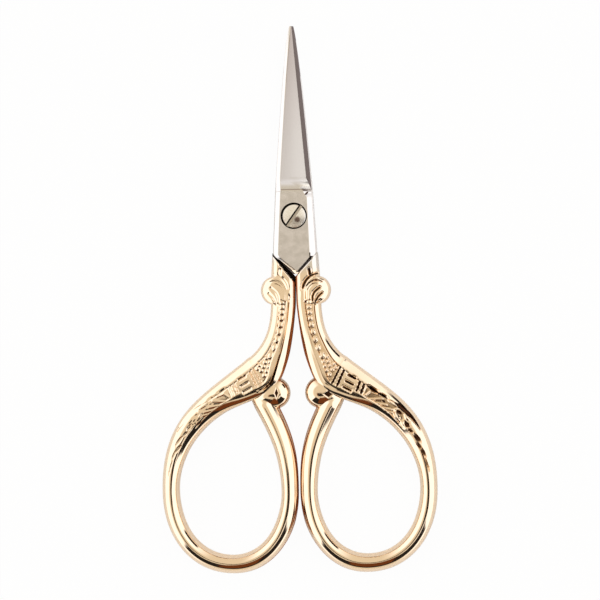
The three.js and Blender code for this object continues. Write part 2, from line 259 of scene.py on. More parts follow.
LEAF_PITS = (
    # along, across, half length, half width, turn in degrees, depth
    (19.25, 0.86, 0.95, 0.34, -4, 0.34), (21.1, 0.84, 0.8, 0.24, 7, 0.3),
    (21.75, 0.1, 0.45, 0.22, 8, 0.28), (24.75, 0.28, 0.6, 0.27, 15, 0.34),
    (25.7, -0.1, 0.34, 0.17, -20, 0.26), (27.0, -0.12, 0.65, 0.27, -4, 0.34),
    (28.15, -0.22, 0.55, 0.2, 14, 0.3), (29.75, 0.15, 0.8, 0.23, 10, 0.32),
    (31.0, -0.22, 0.7, 0.2, 15, 0.28), (32.2, 0.08, 0.85, 0.19, 6, 0.28), (34.1, 0.12, 1.15, 0.13, 5, 0.22),
)
PIT_SIZE = 1.5
PIT_ROUNDNESS = 0.6
PIT_RIM = 0.08
LEAF_LOBES = (
    # along, across, half length, half width, turn in degrees, height
    (23.0, 0.86, 1.0, 0.42, 7, 0.3), (26.2, 0.7, 0.8, 0.45, -5, 0.26), (27.7, 0.62, 0.8, 0.42, -5, 0.26),
    (29.0, 0.62, 0.7, 0.36, -5, 0.24), (30.6, 0.12, 0.6, 0.3, 20, 0.24), (31.9, -0.2, 0.6, 0.25, 10, 0.22),
    (25.0, -0.62, 0.9, 0.3, -6, 0.22), (26.6, -0.62, 0.7, 0.24, -6, 0.2),
)
LEAF_RIBS = (
    ((18.3, -0.95), (18.75, -0.5), (19.13, 0.36), (20.42, 0.62)),
    ((19.3, -1.0), (20.2, -0.45), (21.3, 0.38)),
    ((20.3, -1.1), (21.3, -0.6), (22.4, -0.1)),
    ((21.4, -1.1), (22.4, -0.75), (23.5, -0.2)),
    ((22.4, -1.1), (23.3, -0.85), (24.0, -0.5)),
    ((24.1, 0.55), (23.9, 0.1), (24.5, -0.2), (25.4, -0.35)),
    ((28.4, 0.1), (28.3, -0.3), (28.9, -0.5), (29.6, -0.4)),
)
RIB_WIDTH = 0.2
RIB_HEIGHT = 0.2
CRESCENT = ((23.0, 0.05), (24.6, 0.4), (26.4, 0.34), (28.8, 0.04))  # half width along the bow
CRESCENT_DEPTH = 0.4
SLIVER = 1e-4  # a width too small to show
OUT_OF_REACH = 9.0  # a height that no ornament has

# Volute on the knob and the cuts around it, placed in plan.
VOLUTE = (4.0, -12.15)
VOLUTE_LINES = (
    # distance from the volute's middle at its left, how fast that shrinks per quarter turn, last angle, cut
    (2.37, 0.85, 118, 0.2), (2.02, 1.0, 70, 0.11),
)
VOLUTE_FADE = 25
VOLUTE_CUT = 0.2
VOLUTE_STEM = 13.9  # pivot to where the volute's lines run out over the first bead
VOLUTE_STEM_FADE = 0.5
VOLUTE_RIM = (2.82, 0.36, 12, 82, 0.42)  # radius, half width, first and last angle, depth of its outer cut
VOLUTE_RIM_FADE = (15, 8)
COMMA = ((2.3, -8.7), (2.4, -9.2), (2.45, -9.7))
COMMA_CUT = (0.36, 0.46)
EYE_LINES = (
    ((3.12, -14.3), (3.3, -13.7), (3.72, -13.05), (4.3, -12.5)),
    ((2.76, -13.8), (2.8, -13.0), (3.05, -12.4), (3.45, -12.0), (3.95, -11.62)),
)
EYE_CUT = (0.3, 0.42)

# Painted shade that the mesh carries on the handle's walls: where across the handle it starts, how fast it
# thickens and where along.
SHANK_SHADE = (0.8, 0.86)
SHANK_SHADE_TURNS = (1, 4)
SHANK_SHADE_ENDS = (10, 13)
SHANK_SHADE_EDGE = 0.1
BOW_SHADE = 0.9
BOW_SHADE_EDGE = 0.08
BOW_SHADE_STARTS = (56, 62)
SHADE_REACH = 0.2  # how far a point may lie from the swept skin and still take its shade
SHADED_X = (2.2, 2.8)  # corner of the block's flat that is painted near black
SHADED_Y = (-7.3, -6.0)

# Which faces take which finish, by the slope of their normals. The shaded face takes near-black painted
# shade.
POLISH, SLIDING_FACE, SATIN_FACE, SHADED_FACE, FLAT_FACE = range(5)
SLIDING_SLOPE = -0.7
SATIN_SLOPE = 0.45
SATIN_TURN = 0.02
FLAT_SLOPE = 0.9995
SHADED_SLOPE = 0.8
LEDGE_SLOPE = -0.9
SLACK = 0.01
SLIDING_SLACK = 0.02
HEEL_SHADE_LINE = (0.14, 0.2, 0.32, 0.42)  # where a line of painted shade lies above the heel

# Fineness of the meshes.
STATIONS = (100, 126, 240, 70, 70, 60, 12)
BRANCH_SPAN = 5  # the span of the handle's line at which the branch starts
FLANK_POINTS = 16
FIELD_POINTS = 30
RAIL_POINTS = 4
CORNER_STEPS = 5
BLADE_STATIONS = 90
TIP_CROWDING = 1.4
HEEL_STATIONS = 26
HEEL_ROUND_STATIONS = 8
BLOCK_STATIONS = 30
V_STATIONS = 60
V_LEAD = 1.0  # how far above the block's root its stations grow closer
ROUND_SIDES = 128
HEAD_ROUND_STEPS = 5
HEAD_CROWN_STEPS = 14
BALL_SIDES = 96
BALL_STEPS = 64
CUTTER_SIZE = 20
BLADE_CREASE = radians(7)
HANDLE_CREASE = radians(55)
SCREW_CREASE = radians(35)


def smooth(t):
    t = np.clip(t, 0.0, 1.0)
    return t * t * (3 - 2 * t)


def ramp(value, start, end):
    """0 before the start, 1 past the end and a smooth step between."""
    return smooth((value - start) / (end - start))


def mix(a, b, t):
    return a + (b - a) * t


def curve_through(stations, s):
    """A smooth curve through (place, value) pairs, level past both ends."""
    places, values = np.array(stations, float).T
    slopes = np.gradient(values, places)
    i = np.clip(np.searchsorted(places, s) - 1, 0, len(places) - 2)
    span = places[i + 1] - places[i]
    t = np.clip((s - places[i]) / span, 0.0, 1.0)
    ends = (1 + 2 * t) * (1 - t) ** 2 * values[i] + t * t * (3 - 2 * t) * values[i + 1]
    return ends + span * t * (1 - t) * ((1 - t) * slopes[i] - t * slopes[i + 1])


def v_cut(distance, half_width):
    """1 in the middle of a V-shaped cut, 0 past its sides."""
    return np.clip(1 - np.abs(distance) / half_width, 0.0, 1.0)


def trench(distance, half_width):
    """1 on the floor of a cut with steep sides, 0 past them."""
    return np.clip(2 * v_cut(distance, half_width), 0.0, 1.0)


def dome(spread):
    """Height of a round bump, 1 in its middle, at a spread of 0 to 1 from it."""
    return np.sqrt(np.clip(1 - spread, 0.0, 1.0))


# Meshes

def grid_faces(rows, columns):
    """Quads over rows of points that close on themselves."""
    a = np.arange(rows - 1)[:, None] * columns + np.arange(columns)[None, :]
    b = np.arange(rows - 1)[:, None] * columns + (np.arange(columns)[None, :] + 1) % columns
    return np.stack([a, b, b + columns, a + columns], axis=-1).reshape(-1, 4).tolist()


def loft(name, rings):
    """A closed skin over rings of equally many points, with flat ends."""
    rows, columns, _ = rings.shape
    faces = grid_faces(rows, columns)
    faces.append(list(range(columns))[::-1])
    faces.append([(rows - 1) * columns + i for i in range(columns)])
    return solid(name, rings.reshape(-1, 3), faces)


def prism(corners, bottom, top):
    """A cutter with upright sides over plan corners."""
    rings = [[(corner[0], corner[1], z) for corner in corners] for z in (bottom, top)]
    return loft("cutter", np.array(rings))


def solid(name, points, faces):
    mesh = bpy.data.meshes.new(name)
    mesh.from_pydata((np.asarray(points) * MM).tolist(), [], faces)
    mesh.validate()
    thing = bpy.data.objects.new(name, mesh)
    bpy.context.scene.collection.objects.link(thing)
    return thing


def turned(name, profile, sides):
    """A solid of revolution about Z from (radius, height) pairs that start and end on the axis."""
    radii, heights = np.array(profile[1:-1], float).T
    turn = np.arange(sides) * (2 * pi / sides)
    rings = np.stack([
        radii[:, None] * np.cos(turn),
        radii[:, None] * np.sin(turn),
        np.repeat(heights[:, None], sides, axis=1),
    ], axis=-1)
    points = np.vstack([rings.reshape(-1, 3), [[0, 0, profile[0][1]], [0, 0, profile[-1][1]]]])
    count = len(radii) * sides
    faces = grid_faces(len(radii), sides)
    for i in range(sides):
        j = (i + 1) % sides
        faces.append([count, j, i])
        faces.append([count + 1, count - sides + i, count - sides + j])
    return solid(name, points, faces)


def worked(body, operation, tool):
    """The body joined with or cut by the tool, which is used up."""
    change = body.modifiers.new("work", "BOOLEAN")
    change.operation = operation
    change.object = tool
    change.solver = "MANIFOLD"
    bpy.context.view_layer.update()
    made = bpy.data.meshes.new_from_object(body.evaluated_get(bpy.context.evaluated_depsgraph_get()))
    body.modifiers.clear()
    body.data = made
    bpy.data.objects.remove(tool)
    return body


def finished(thing, crease, materials):
    """Smooth shading that breaks at creases, with flat faces kept flat."""
    mesh = thing.data
    mesh.materials.clear()
    for material in materials:
        mesh.materials.append(material)
    mesh.shade_smooth()
    mesh.set_sharp_from_angle(angle=crease)
    even = thing.modifiers.new("even shading", "WEIGHTED_NORMAL")
    even.keep_sharp = True
    return thing


def in_place(thing, rear):
    """Puts a piece of the front half, or its turned-over copy for the rear half, where it belongs."""
    turn = Matrix.Rotation(pi, 4, "Y") if rear else Matrix.Identity(4)
    thing.data.transform(Matrix.Translation((0, 0, LIFT * MM)) @ turn)
    return thing


# Blade and joint block

def shoulder_line(reach, angle, gap):
    """Plan line of a shoulder as its point, its direction and the way into the handle."""
    inward = np.array((sin(angle), -cos(angle)))
    return np.array((-SHANK_GAP, -reach)) + inward * gap, np.array((cos(angle), sin(angle))), inward


def free_edge(y):
    return SHANK_GAP - (y + POINT_REACH - FREE_RISE) / tan(FREE_ANGLE)


def seat_edge(y):
    point, _, _ = shoulder_line(POINT_REACH, POINT_ANGLE, SHOULDER_GAP - SEAT_GAP)
    return point[0] + (y - point[1]) / tan(POINT_ANGLE)


def soft_max(a, b, softness):
    return (a + b + sqrt((a - b) ** 2 + softness ** 2)) / 2


def blade_section(y):
    back = (TIP_REACH - y) / (TIP_REACH - HEEL_REACH)
    full = back ** SPINE_BELLY
    spine = -mix(TIP_SPINE, HEEL_SPINE, full)
    edge = mix(TIP_EDGE, HEEL_EDGE, back)
    crest = spine + mix(TIP_BEVEL, SPINE_BEVEL, sqrt(full))
    width = edge - EDGE_LAND - crest
    ridge = EDGE_LAND + width * tan(mix(TIP_GRIND, HEEL_GRIND, full))
    wall = ridge * mix(*SPINE_WALL, full)
    middle = ((edge - EDGE_LAND + crest) / 2, (EDGE_LAND + ridge) / 2 + width * GRIND_BELLY)
    return np.array([
        (spine, 0), (edge, 0), (edge - EDGE_LAND, EDGE_LAND), middle, (crest, ridge), (spine, wall),
    ])


def block_section(y, drop):
    """Section of the block with its face lowered by a drop, narrowing to the V's point."""
    below = (HEEL_REACH - y) / (HEEL_REACH + BLOCK_ROOT)
    spine = soft_max(-mix(HEEL_SPINE, BLOCK_SPINE_ROOT, below), free_edge(y), SPINE_SOFTNESS)
    side = mix(BLOCK_EDGE_HEEL, BLOCK_EDGE_ROOT, below)
    edge = -soft_max(-side, -seat_edge(y), SEAT_SOFTNESS)
    freed = smooth((free_edge(y) + BLOCK_SPINE_ROOT + FREE_LEAD) / FREE_RUN)
    room = (edge - spine) * BEVEL_ROOM
    corner = np.clip((y - HEEL_CORNER) / (HEEL_REACH - HEEL_ROUND - HEEL_CORNER), 0.0, 1.0)
    spine_full = mix(SPINE_SIDE_BEVEL, FREE_EDGE_BEVEL, freed)
    side_bevel = mix(EDGE_SIDE_BEVEL, EDGE_ROOT_BEVEL, below) + CORNER_CUT * corner
    left_over = max(side_bevel - side + edge, LEAST_BEVEL)
    seated = smooth((SEAT_BEVEL - left_over) / SEAT_RUN)
    edge_full = mix(left_over, SEAT_BEVEL, seated)
    spine_bevel = min(spine_full, room)
    edge_bevel = min(edge_full, room)
    top = BLOCK_THICKNESS - drop
    spine_wall = top - mix(BEVEL_DEPTH, FREE_DEPTH, freed) * spine_bevel / spine_full
    edge_wall = top - mix(BEVEL_DEPTH * left_over / side_bevel, SEAT_DEPTH, seated) * edge_bevel / edge_full
    return np.array([
        (spine, 0), (edge, 0), (edge, edge_wall), (edge - edge_bevel, top), (spine + spine_bevel, top),
        (spine, spine_wall),
    ])


def rounded(corners, radii, steps):
    """A ring with each corner rounded by a short curve of a few points."""
    ring = []
    count = len(corners)
    for i in range(count):
        corner = corners[i]
        before = corners[i - 1] - corner
        after = corners[(i + 1) % count] - corner
        start = corner + before * min(radii[i] / max(np.hypot(*before), SLIVER), ROUNDING_ROOM)
        end = corner + after * min(radii[i] / max(np.hypot(*after), SLIVER), ROUNDING_ROOM)
        for t in np.linspace(0, 1, steps):
            ring.append((1 - t) ** 2 * start + 2 * t * (1 - t) * corner + t * t * end)
    return np.array(ring)


def blade_rings():
    """Sections from the tip through the hollow heel and the block to the V's point."""
    ramp_top = HEEL_REACH + HEEL_RAMP
    flat_top = HEEL_REACH - HEEL_ROUND
    v_top = V_LEAD - BLOCK_ROOT
    sections = []
    for y in mix(TIP_REACH, ramp_top, np.linspace(0, 1, BLADE_STATIONS, endpoint=False) ** TIP_CROWDING):
        sections.append((y, blade_section(y)))
    for rise in np.sin(np.linspace(0, pi / 2, HEEL_STATIONS)):
        y = mix(ramp_top, HEEL_REACH, rise)
        steep = max(1 - (y - HEEL_REACH) / HEEL_STEEP, 0.0)
        hollow = np.array((rise ** HEEL_FLARE, steep * mix(steep ** 2, 1.0, HEEL_CREASE)))
        sections.append((y, mix(blade_section(y), block_section(y, HEEL_ROUND), hollow)))
    for turn in np.linspace(0, pi / 2, HEEL_ROUND_STATIONS)[1:]:
        y = HEEL_REACH - HEEL_ROUND * (1 - cos(turn))
        sections.append((y, block_section(y, HEEL_ROUND * (1 - sin(turn)))))
    for top, bottom, count in ((flat_top, v_top, BLOCK_STATIONS), (v_top, -V_REACH, V_STATIONS)):
        for y in np.linspace(top, bottom, count)[1:]:
            sections.append((y, block_section(y, 0.0)))
    rings = []
    for y, corners in sections:
        radii = list(CORNER_RADII)
        onto_blade = smooth((y - HEEL_REACH) / HEEL_RAMP)
        radii[FACE_CORNER] = mix(CORNER_RADII[FACE_CORNER], BELLY_RADIUS, onto_blade)
        radii[SPINE_CORNER] = mix(BLOCK_SPINE_ROUND, CORNER_RADII[SPINE_CORNER], onto_blade)
        ring = rounded(corners, radii, CORNER_STEPS)
        rings.append(np.column_stack([ring[:, 0], np.full(len(ring), y), ring[:, 1] + FACE_GAP / 2]))
    return np.array(rings)


def plug(radius, bottom, top):
    """A round cutter for the screw's holes."""
    return turned("cutter", [(0, bottom), (radius, bottom), (radius, top), (0, top)], ROUND_SIDES)


def blade(name, rear):
    thing = loft(name, blade_rings())
    worked(thing, "DIFFERENCE", plug(SCREW_RADIUS + SCREW_GAP, -LIFT, 2 * LIFT))
    if not rear:
        worked(thing, "DIFFERENCE", plug(HEAD_RADIUS + HEAD_GAP, HEAD_SEAT - SCREW_GAP, 2 * LIFT))
    finished(thing, BLADE_CREASE, [nickel(), ground_steel(), satin_steel(), painted_shade(), brushed_steel()])
    for face in thing.data.polygons:
        face.material_index = finish_of(face)
        face.use_smooth = face.material_index != FLAT_FACE
    return in_place(thing, rear)


def finish_of(face):
    """The finish of a face of the blade, as the number of its material."""
    place = face.center / MM
    slope = face.normal.z
    if slope < SLIDING_SLOPE and place.z < FACE_GAP / 2 + SLIDING_SLACK:
        return SLIDING_FACE
    if slope > SATIN_SLOPE and face.normal.x > SATIN_TURN and place.y > HEEL_REACH + HEEL_SHADE_LINE[0]:
        return SATIN_FACE
    # the counterbore's wall and seat take near-black painted shade
    if np.hypot(place.x, place.y) < HEAD_RADIUS + HEAD_GAP + SLACK and place.z < LIFT - SLACK:
        return SHADED_FACE
    if slope > FLAT_SLOPE and place.z > LIFT - SLACK:
        return FLAT_FACE
    # this corner of the block's flat is painted near black too
    if SHADED_X[0] < place.x < SHADED_X[1] and SHADED_Y[0] < place.y < SHADED_Y[1] and slope > SHADED_SLOPE:
        return SHADED_FACE
    return POLISH


# Handle

def bezier(from_point, from_heading, from_lead, to_point, to_heading, to_lead, t):
    """Points and headings on the curve from one point and heading to another."""
    a = np.array(from_point)
    b = a + np.array(from_heading) * from_lead
    d = np.array(to_point)
    c = d - np.array(to_heading) * to_lead
    t = t[:, None]
    points = (1 - t) ** 3 * a + 3 * (1 - t) ** 2 * t * b + 3 * (1 - t) * t * t * c + t ** 3 * d
    headings = (1 - t) ** 2 * (b - a) + 2 * (1 - t) * t * (c - b) + t * t * (d - c)
    return points, headings / np.linalg.norm(headings, axis=1, keepdims=True)


SEAT_LINE = shoulder_line(POINT_REACH, POINT_ANGLE, SHOULDER_GAP)
CLEARANCE_LINE = shoulder_line(POINT_REACH + CLEARANCE_DROP, CLEARANCE_ANGLE, SHOULDER_GAP)
STOP = np.array((STOP_GAP + STOP_RADIUS, -STOP_REACH))
KNOB = np.array((SHANK_GAP + KNOB_INSET + KNOB_RADIUS, -KNOB_REACH))


def swelling(t):
    return smooth(t) ** ELBOW_SWELL


def tapering(t):
    return 1 - (1 - t) ** ARM_TAPER


def handle_line():
    """Stations as columns: place (2), heading (2), half width, half thickness, section, distance."""
    down = (0, -1)
    up = (0, 1)
    left = (-1, 0)
    along = np.array((cos(ARM_SLOPE), sin(ARM_SLOPE)))
    across = np.array((-along[1], along[0]))
    root_top = SEAT_LINE[0][1] + (SHANK_GAP + ROOT_WIDTH + ROOT_SPARE) * tan(POINT_ANGLE)
    root = (SHANK_GAP + ROOT_WIDTH / 2, root_top)
    neck = (SHANK_GAP + NECK_WIDTH / 2, -NECK_REACH)
    elbow = STOP + across * (ELBOW_WIDTH / 2 + STOP_DROP)
    outer = (BOW_SPREAD - BOW_OUTER_WIDTH / 2, -BOW_WIDEST)
    inner = (BOW_GAP + BOW_INNER_WIDTH / 2, -BOW_WIDEST)
    foot = ((outer[0] + inner[0]) / 2 - BOW_LEAN, BOW_FOOT_WIDTH / 2 - BOW_REACH)
    branch = (cos(BRANCH_HEADING), sin(BRANCH_HEADING))
    top = (STOP[0] + BRANCH_OUT, STOP[1] - BRANCH_DROP)
    drop = (outer[1] - foot[1]) * BOW_ROUNDNESS
    outward = (outer[0] - foot[0]) * BOW_ROUNDNESS
    inward = (foot[0] - inner[0]) * BOW_ROUNDNESS
    spans = (
        (root, down, NECK_LEAD, neck, down, NECK_LEAD),
        (neck, down, NECK_LEAD, elbow, along, ELBOW_LEAD_IN),
        (elbow, along, ELBOW_LEAD_OUT, outer, down, BOW_LEAD),
        (outer, down, drop, foot, left, outward),
        (foot, left, inward, inner, up, drop),
        (inner, up, BRANCH_LEAD_IN, top, branch, BRANCH_LEAD_OUT),
        (top, branch, TAIL / 3, top + np.array(branch) * TAIL, branch, TAIL / 3),
    )
    bow_widths = (BOW_OUTER_WIDTH, BOW_FOOT_WIDTH, BOW_INNER_WIDTH, BOW_TOP_WIDTH, TAIL_WIDTH)
    widths = (ROOT_WIDTH, NECK_WIDTH, ELBOW_WIDTH) + bow_widths
    thicknesses = (HANDLE_THICKNESS,) * 3 + (BOW_THICKNESS,) * 4 + (TAIL_THICKNESS,)
    sections = (FLAT_SECTION,) * 3 + (ROUND_SECTION,) * 5
    widenings = (smooth, swelling, tapering) + (smooth,) * 4
    rows = []
    for i, ends in enumerate(spans):
        t = np.linspace(0, 1, STATIONS[i] + 1)[(1 if i else 0):]
        ease = smooth(t)
        points, headings = bezier(*ends, t)
        rows.append(np.column_stack([
            points, headings,
            mix(widths[i], widths[i + 1], widenings[i](t)) / 2,
            mix(thicknesses[i], thicknesses[i + 1], ease) / 2,
            mix(sections[i], sections[i + 1], ease),
        ]))
    line = np.vstack(rows)
    steps = np.linalg.norm(np.diff(line[:, :2], axis=0), axis=1)
    along_line = np.concatenate([[0], np.cumsum(steps)])
    return np.column_stack([line, along_line - along_line[STATIONS[0]]])


def line_places(line, places):
    """Plan points of (along, across) places on the handle's line."""
    s, d = np.array(places, float).T
    x, y, hx, hy = [np.interp(s, line[:, -1], line[:, column]) for column in range(4)]
    return np.column_stack([x - hy * d, y + hx * d])


def volute(x, y):
    """Lines that rise from the bead row and curl outward over the knob."""
    turn = np.degrees(np.arctan2(y - VOLUTE[1], VOLUTE[0] - x))
    reach = np.hypot(x - VOLUTE[0], y - VOLUTE[1])
    rising = (y < VOLUTE[1]) * smooth((y + VOLUTE_STEM) / VOLUTE_STEM_FADE)
    height = np.zeros_like(x)
    for start, shrink, last, depth in VOLUTE_LINES:
        curl = v_cut(reach - (start - shrink * turn / 90), VOLUTE_CUT)
        curl = curl * smooth((last - turn) / VOLUTE_FADE) * (turn >= 0)
        stem = v_cut(x - (VOLUTE[0] - start), VOLUTE_CUT) * rising
        height = np.minimum(height, -depth * np.maximum(curl, stem))
    radius, half_width, first, last, depth = VOLUTE_RIM
    fade_in, fade_out = VOLUTE_RIM_FADE
    shown = ramp(turn, first - fade_in, first) * (1 - ramp(turn, last, last + fade_out))
    return np.minimum(height, -depth * v_cut(reach - radius, half_width) * shown)


def along_path(x, y, path):
    """Distance in plan to a path of straight pieces."""
    nearest = np.full(x.shape, np.inf)
    for (ax, ay), (bx, by) in zip(path, path[1:]):
        length = (bx - ax) ** 2 + (by - ay) ** 2
        t = np.clip(((x - ax) * (bx - ax) + (y - ay) * (by - ay)) / length, 0.0, 1.0)
        nearest = np.minimum(nearest, np.hypot(x - ax - t * (bx - ax), y - ay - t * (by - ay)))
    return nearest


def turned_oval(s, d, place):
    """Squared spread from the middle of an oval that lies along, across and turned, and its last value."""
    along, across, length, width, turn, amount = place
    c = cos(radians(turn))
    n = sin(radians(turn))
    p = (s - along) * c + (d - across) * n
    q = (d - across) * c - (s - along) * n
    return (p / length) ** 2 + (q / width) ** 2, amount


def raised(height, inside, top):
    """The height with a bump laid over it where the place lies inside the bump."""
    return np.maximum(height, np.where(inside, top, -OUT_OF_REACH))


def struck(line, s, d, x, y, outer_side, inner_side):
    """Height of the struck ornament over the handle's plain surface, on its front face."""
    inside = np.minimum(outer_side - d, d - inner_side)
    wall = smooth(inside / FIELD_WALL)
    strength = ramp(s, *FIELD_STARTS) * (1 - ramp(s, *FIELD_ENDS))
    slanted = s + BAR_SLANT * d
    bars = smooth((slanted - BARS_FROM) / BAR_EDGE) * (1 - smooth((slanted - BARS_TO) / BAR_EDGE))
    leaves = LEAF_SINK * smooth((s - BARS_TO) / LEAF_SINK_RUN)
    height = -FIELD_DEPTH * strength * wall * (1 - BAR_FILL * bars + leaves)
    for place, radius in beads(line):
        spread = ((x - place[0]) ** 2 + (y - place[1]) ** 2) / radius ** 2
        height = raised(height, spread < 1, -FIELD_DEPTH * BEAD_FOOT + BEAD_HEIGHT * dome(spread))
    for oval in LEAF_LOBES:
        spread, amount = turned_oval(s, d, oval)
        height = raised(height, spread < 1, -FIELD_DEPTH + amount * dome(spread))
    for rib in LEAF_RIBS:
        away = along_path(x, y, line_places(line, rib).tolist())
        height = raised(height, away < RIB_WIDTH, -FIELD_DEPTH + RIB_HEIGHT * v_cut(away, RIB_WIDTH))
    for cut in BAR_CUTS:
        height = np.minimum(height, -CUT_DEPTH * trench(slanted - cut, CUT_WIDTH) * wall)
    panel = smooth((slanted - PANEL[0]) / PANEL_EDGE) * smooth((PANEL[1] - slanted) / PANEL_EDGE)
    for cut in PANEL_CUTS:
        height = np.minimum(height, -CUT_DEPTH * v_cut(d - cut, PANEL_CUT_WIDTH) * panel)
    for oval in LEAF_PITS:
        spread, amount = turned_oval(s, d, oval)
        hollow = np.clip(1 - spread / PIT_SIZE, 0.0, None)
        pit = np.where(hollow > 0, -amount * hollow ** PIT_ROUNDNESS - PIT_RIM, OUT_OF_REACH)
        height = np.minimum(height, pit)
    half_width = curve_through(CRESCENT, s) * (s > CRESCENT[0][0]) * (s < CRESCENT[-1][0]) + SLIVER
    height = np.minimum(height, -CRESCENT_DEPTH * trench(d - (outer_side - half_width), half_width))
    width, depth = BORDER_CUT
    border = v_cut(outer_side - width - d, width) * strength * (s < BORDER_ENDS)
    border = np.maximum(border, v_cut(d - inner_side - width, width) * strength * (s < BARS_FROM))
    height = np.minimum(height - depth * border, volute(x, y))
    for path, (width, depth) in [(path, EYE_CUT) for path in EYE_LINES] + [(COMMA, COMMA_CUT)]:
        height = np.minimum(height, -depth * v_cut(along_path(x, y, path), width))
    return height


def beads(line):
    """Plan place and radius of each bead, in the row and in the lattice."""
    first, growth = BEAD_PITCH
    size, swell = BEAD_RADIUS
    made = []
    for k in range(BEAD_COUNT):
        across = BEAD_ACROSS[0] if k < BEAD_COUNT - 1 else BEAD_ACROSS[1]
        place = line_places(line, [(first * k + growth * k * k, across)])[0]
        made.append((place, size + swell * k))
    for start, end, count in LATTICE_ROWS:
        for t in np.linspace(0, 1, count):
            place = line_places(line, [(mix(start[0], end[0], t), mix(start[1], end[1], t))])[0]
            made.append((place, LATTICE_BEAD))
    return made


def handle_rings(line):
    """Rings of points around the handle, how deep each lies in the ornament and how much painted shade its
    wall takes.
    """
    x0, y0, hx, hy, half, thick, section, s = [column[:, None] for column in line.T]
    rise = np.clip(KNOB_RADIUS ** 2 - (y0 - KNOB[1]) ** 2, 0.0, None)
    bulge = np.where((rise > 0) & (s < KNOB_ENDS), KNOB[0] + np.sqrt(rise) - x0, 0.0)
    outer_half = np.maximum(half + curve_through(OUTER_SWELL, s), bulge)
    half = half + curve_through(INNER_SWELL, s)
    outer_side = np.clip(outer_half - curve_through(OUTER_BAND, s), LEAST_FIELD, None)
    inner_side = -np.clip(half - curve_through(INNER_BAND, s), LEAST_FIELD, None)
    flank = np.linspace(0, 1, FLANK_POINTS, endpoint=False)[None, :]
    inner_flank = np.linspace(1, 0, FLANK_POINTS - RAIL_POINTS - 1)[None, :]
    outer_turn = np.arccos((outer_side / outer_half) ** (section / 2))
    border = half + inner_side
    rail_side = inner_side - np.minimum(curve_through(RAIL_FLAT, s), RAIL_FLAT_ROOM * border)
    rail_half = np.minimum(curve_through(RAIL_CUT, s), RAIL_CUT_ROOM * border)
    rail_turn = np.arccos(((rail_half - rail_side) / half) ** (section / 2))
    d = np.hstack([
        outer_half * np.cos(outer_turn * flank) ** (2 / section),
        mix(outer_side, inner_side, np.linspace(0, 1, FIELD_POINTS + 1)[None, :]),
        mix(inner_side, rail_side + rail_half, np.linspace(0, 1, RAIL_POINTS + 1)[None, 1:]),
        rail_side,
        -half * np.cos(rail_turn * inner_flank) ** (2 / section),
    ])
    crest = -CREST_SHIFT * ramp(s, *CREST_FROM)
    reach = np.abs(d - crest) / np.where(d > crest, outer_half - crest, half + crest)
    root = 1 - ramp(s, *ROOT_FACE)
    square = section + np.where(d > 0, ROOT_SQUARE * root, curve_through(INNER_SQUARE, s))
    rail = np.clip(rail_side - d, 0.0, None) * RAIL_TILT * (1 - ramp(s, *RAIL_TILT_ENDS))
    rail_cut = v_cut(d - rail_side, rail_half) * curve_through(RAIL_CUT_DEPTH, s)
    past_flat = d - outer_half + EDGE_ROOT_BEVEL
    bevel = np.clip(past_flat, 0.0, None) * root * BEVEL_DEPTH / EDGE_ROOT_BEVEL
    z = thick * np.clip(1 - reach ** square, 0.0, None) ** (1 / square) * (1 - (rail + bevel) / thick)
    x = x0 - hy * d
    y = y0 + hx * d
    face = smooth((1 - reach) / STRIKE_RIM)
    along = np.broadcast_to(s, d.shape)
    back_side = outer_side - curve_through(BACK_BORDER, s)
    front = struck(line, along, d, x, y, outer_side, inner_side) * face
    back = struck(line, along, d, x, y, back_side, inner_side) * face * curve_through(BACK_STRIKE, s)
    front = front + chamfer(x, y, SEAT_LINE) * face * (1 - smooth(past_flat / CHAMFER_FADE))
    back = back + chamfer(x, y, CLEARANCE_LINE) * face - rail_cut
    front = front - rail_cut * FRONT_RAIL_CUT
    upper = np.stack([x, y, np.maximum(z + front, 0.0)], axis=-1)
    lower = np.stack([x, y, np.minimum(-z - back, 0.0)], axis=-1)[:, -2:0:-1]
    recess = np.hstack([-front, -back[:, -2:0:-1]])
    # painted shade on the shank's inner wall and on the outer side of the bow's inner wire
    shade_from = mix(*SHANK_SHADE, ramp(s, *SHANK_SHADE_TURNS))
    deep = smooth((-d / half - shade_from) / SHANK_SHADE_EDGE) * (1 - ramp(s, *SHANK_SHADE_ENDS))
    deep = deep + smooth((d / outer_half - BOW_SHADE) / BOW_SHADE_EDGE) * ramp(s, *BOW_SHADE_STARTS)
    return np.concatenate([upper, lower], axis=1), recess, np.hstack([deep, deep[:, -2:0:-1]])


def ball():
    """The stop ball, flattened along Z, with its tail and dimples."""
    half_thickness = BOW_THICKNESS / 2
    profile = [(0, -half_thickness)]
    for climb in np.linspace(-pi / 2, pi / 2, BALL_STEPS + 1)[1:-1]:
        height = np.sign(climb) * abs(sin(climb)) ** BALL_SQUARE
        profile.append((STOP_RADIUS * cos(climb) ** BALL_SQUARE, half_thickness * height))
    profile.append((0, half_thickness))
    thing = turned("stop", profile, BALL_SIDES)
    for vertex in thing.data.vertices:
        towards = cos(atan2(vertex.co.y, vertex.co.x) - BALL_TAIL_TURN)
        vertex.co.xy *= 1 + BALL_TAIL * max(towards, 0.0) ** BALL_TAIL_SHARPNESS
    thing.data.transform(Matrix.Translation((STOP[0] * MM, STOP[1] * MM, 0)))
    for vertex in thing.data.vertices:
        vertex.co.z -= copysign(dimple(vertex.co) * DIMPLE_SHARE * MM, vertex.co.z)
    return thing


def dimple(place):
    """How deep the dimple is at a place, in millimetres: a share of it is struck into the ball, and all of
    it paints a dark reflection.
    """
    x, y, length, width = FRONT_DIMPLE if place.z > 0 else BACK_DIMPLE
    spread = abs(place.x / MM - STOP[0] - x) / length + abs(place.y / MM - STOP[1] - y) / width
    return DIMPLE_DEPTH * min(max(1 - spread, 0.0) * DIMPLE_STEEPNESS, 1.0)


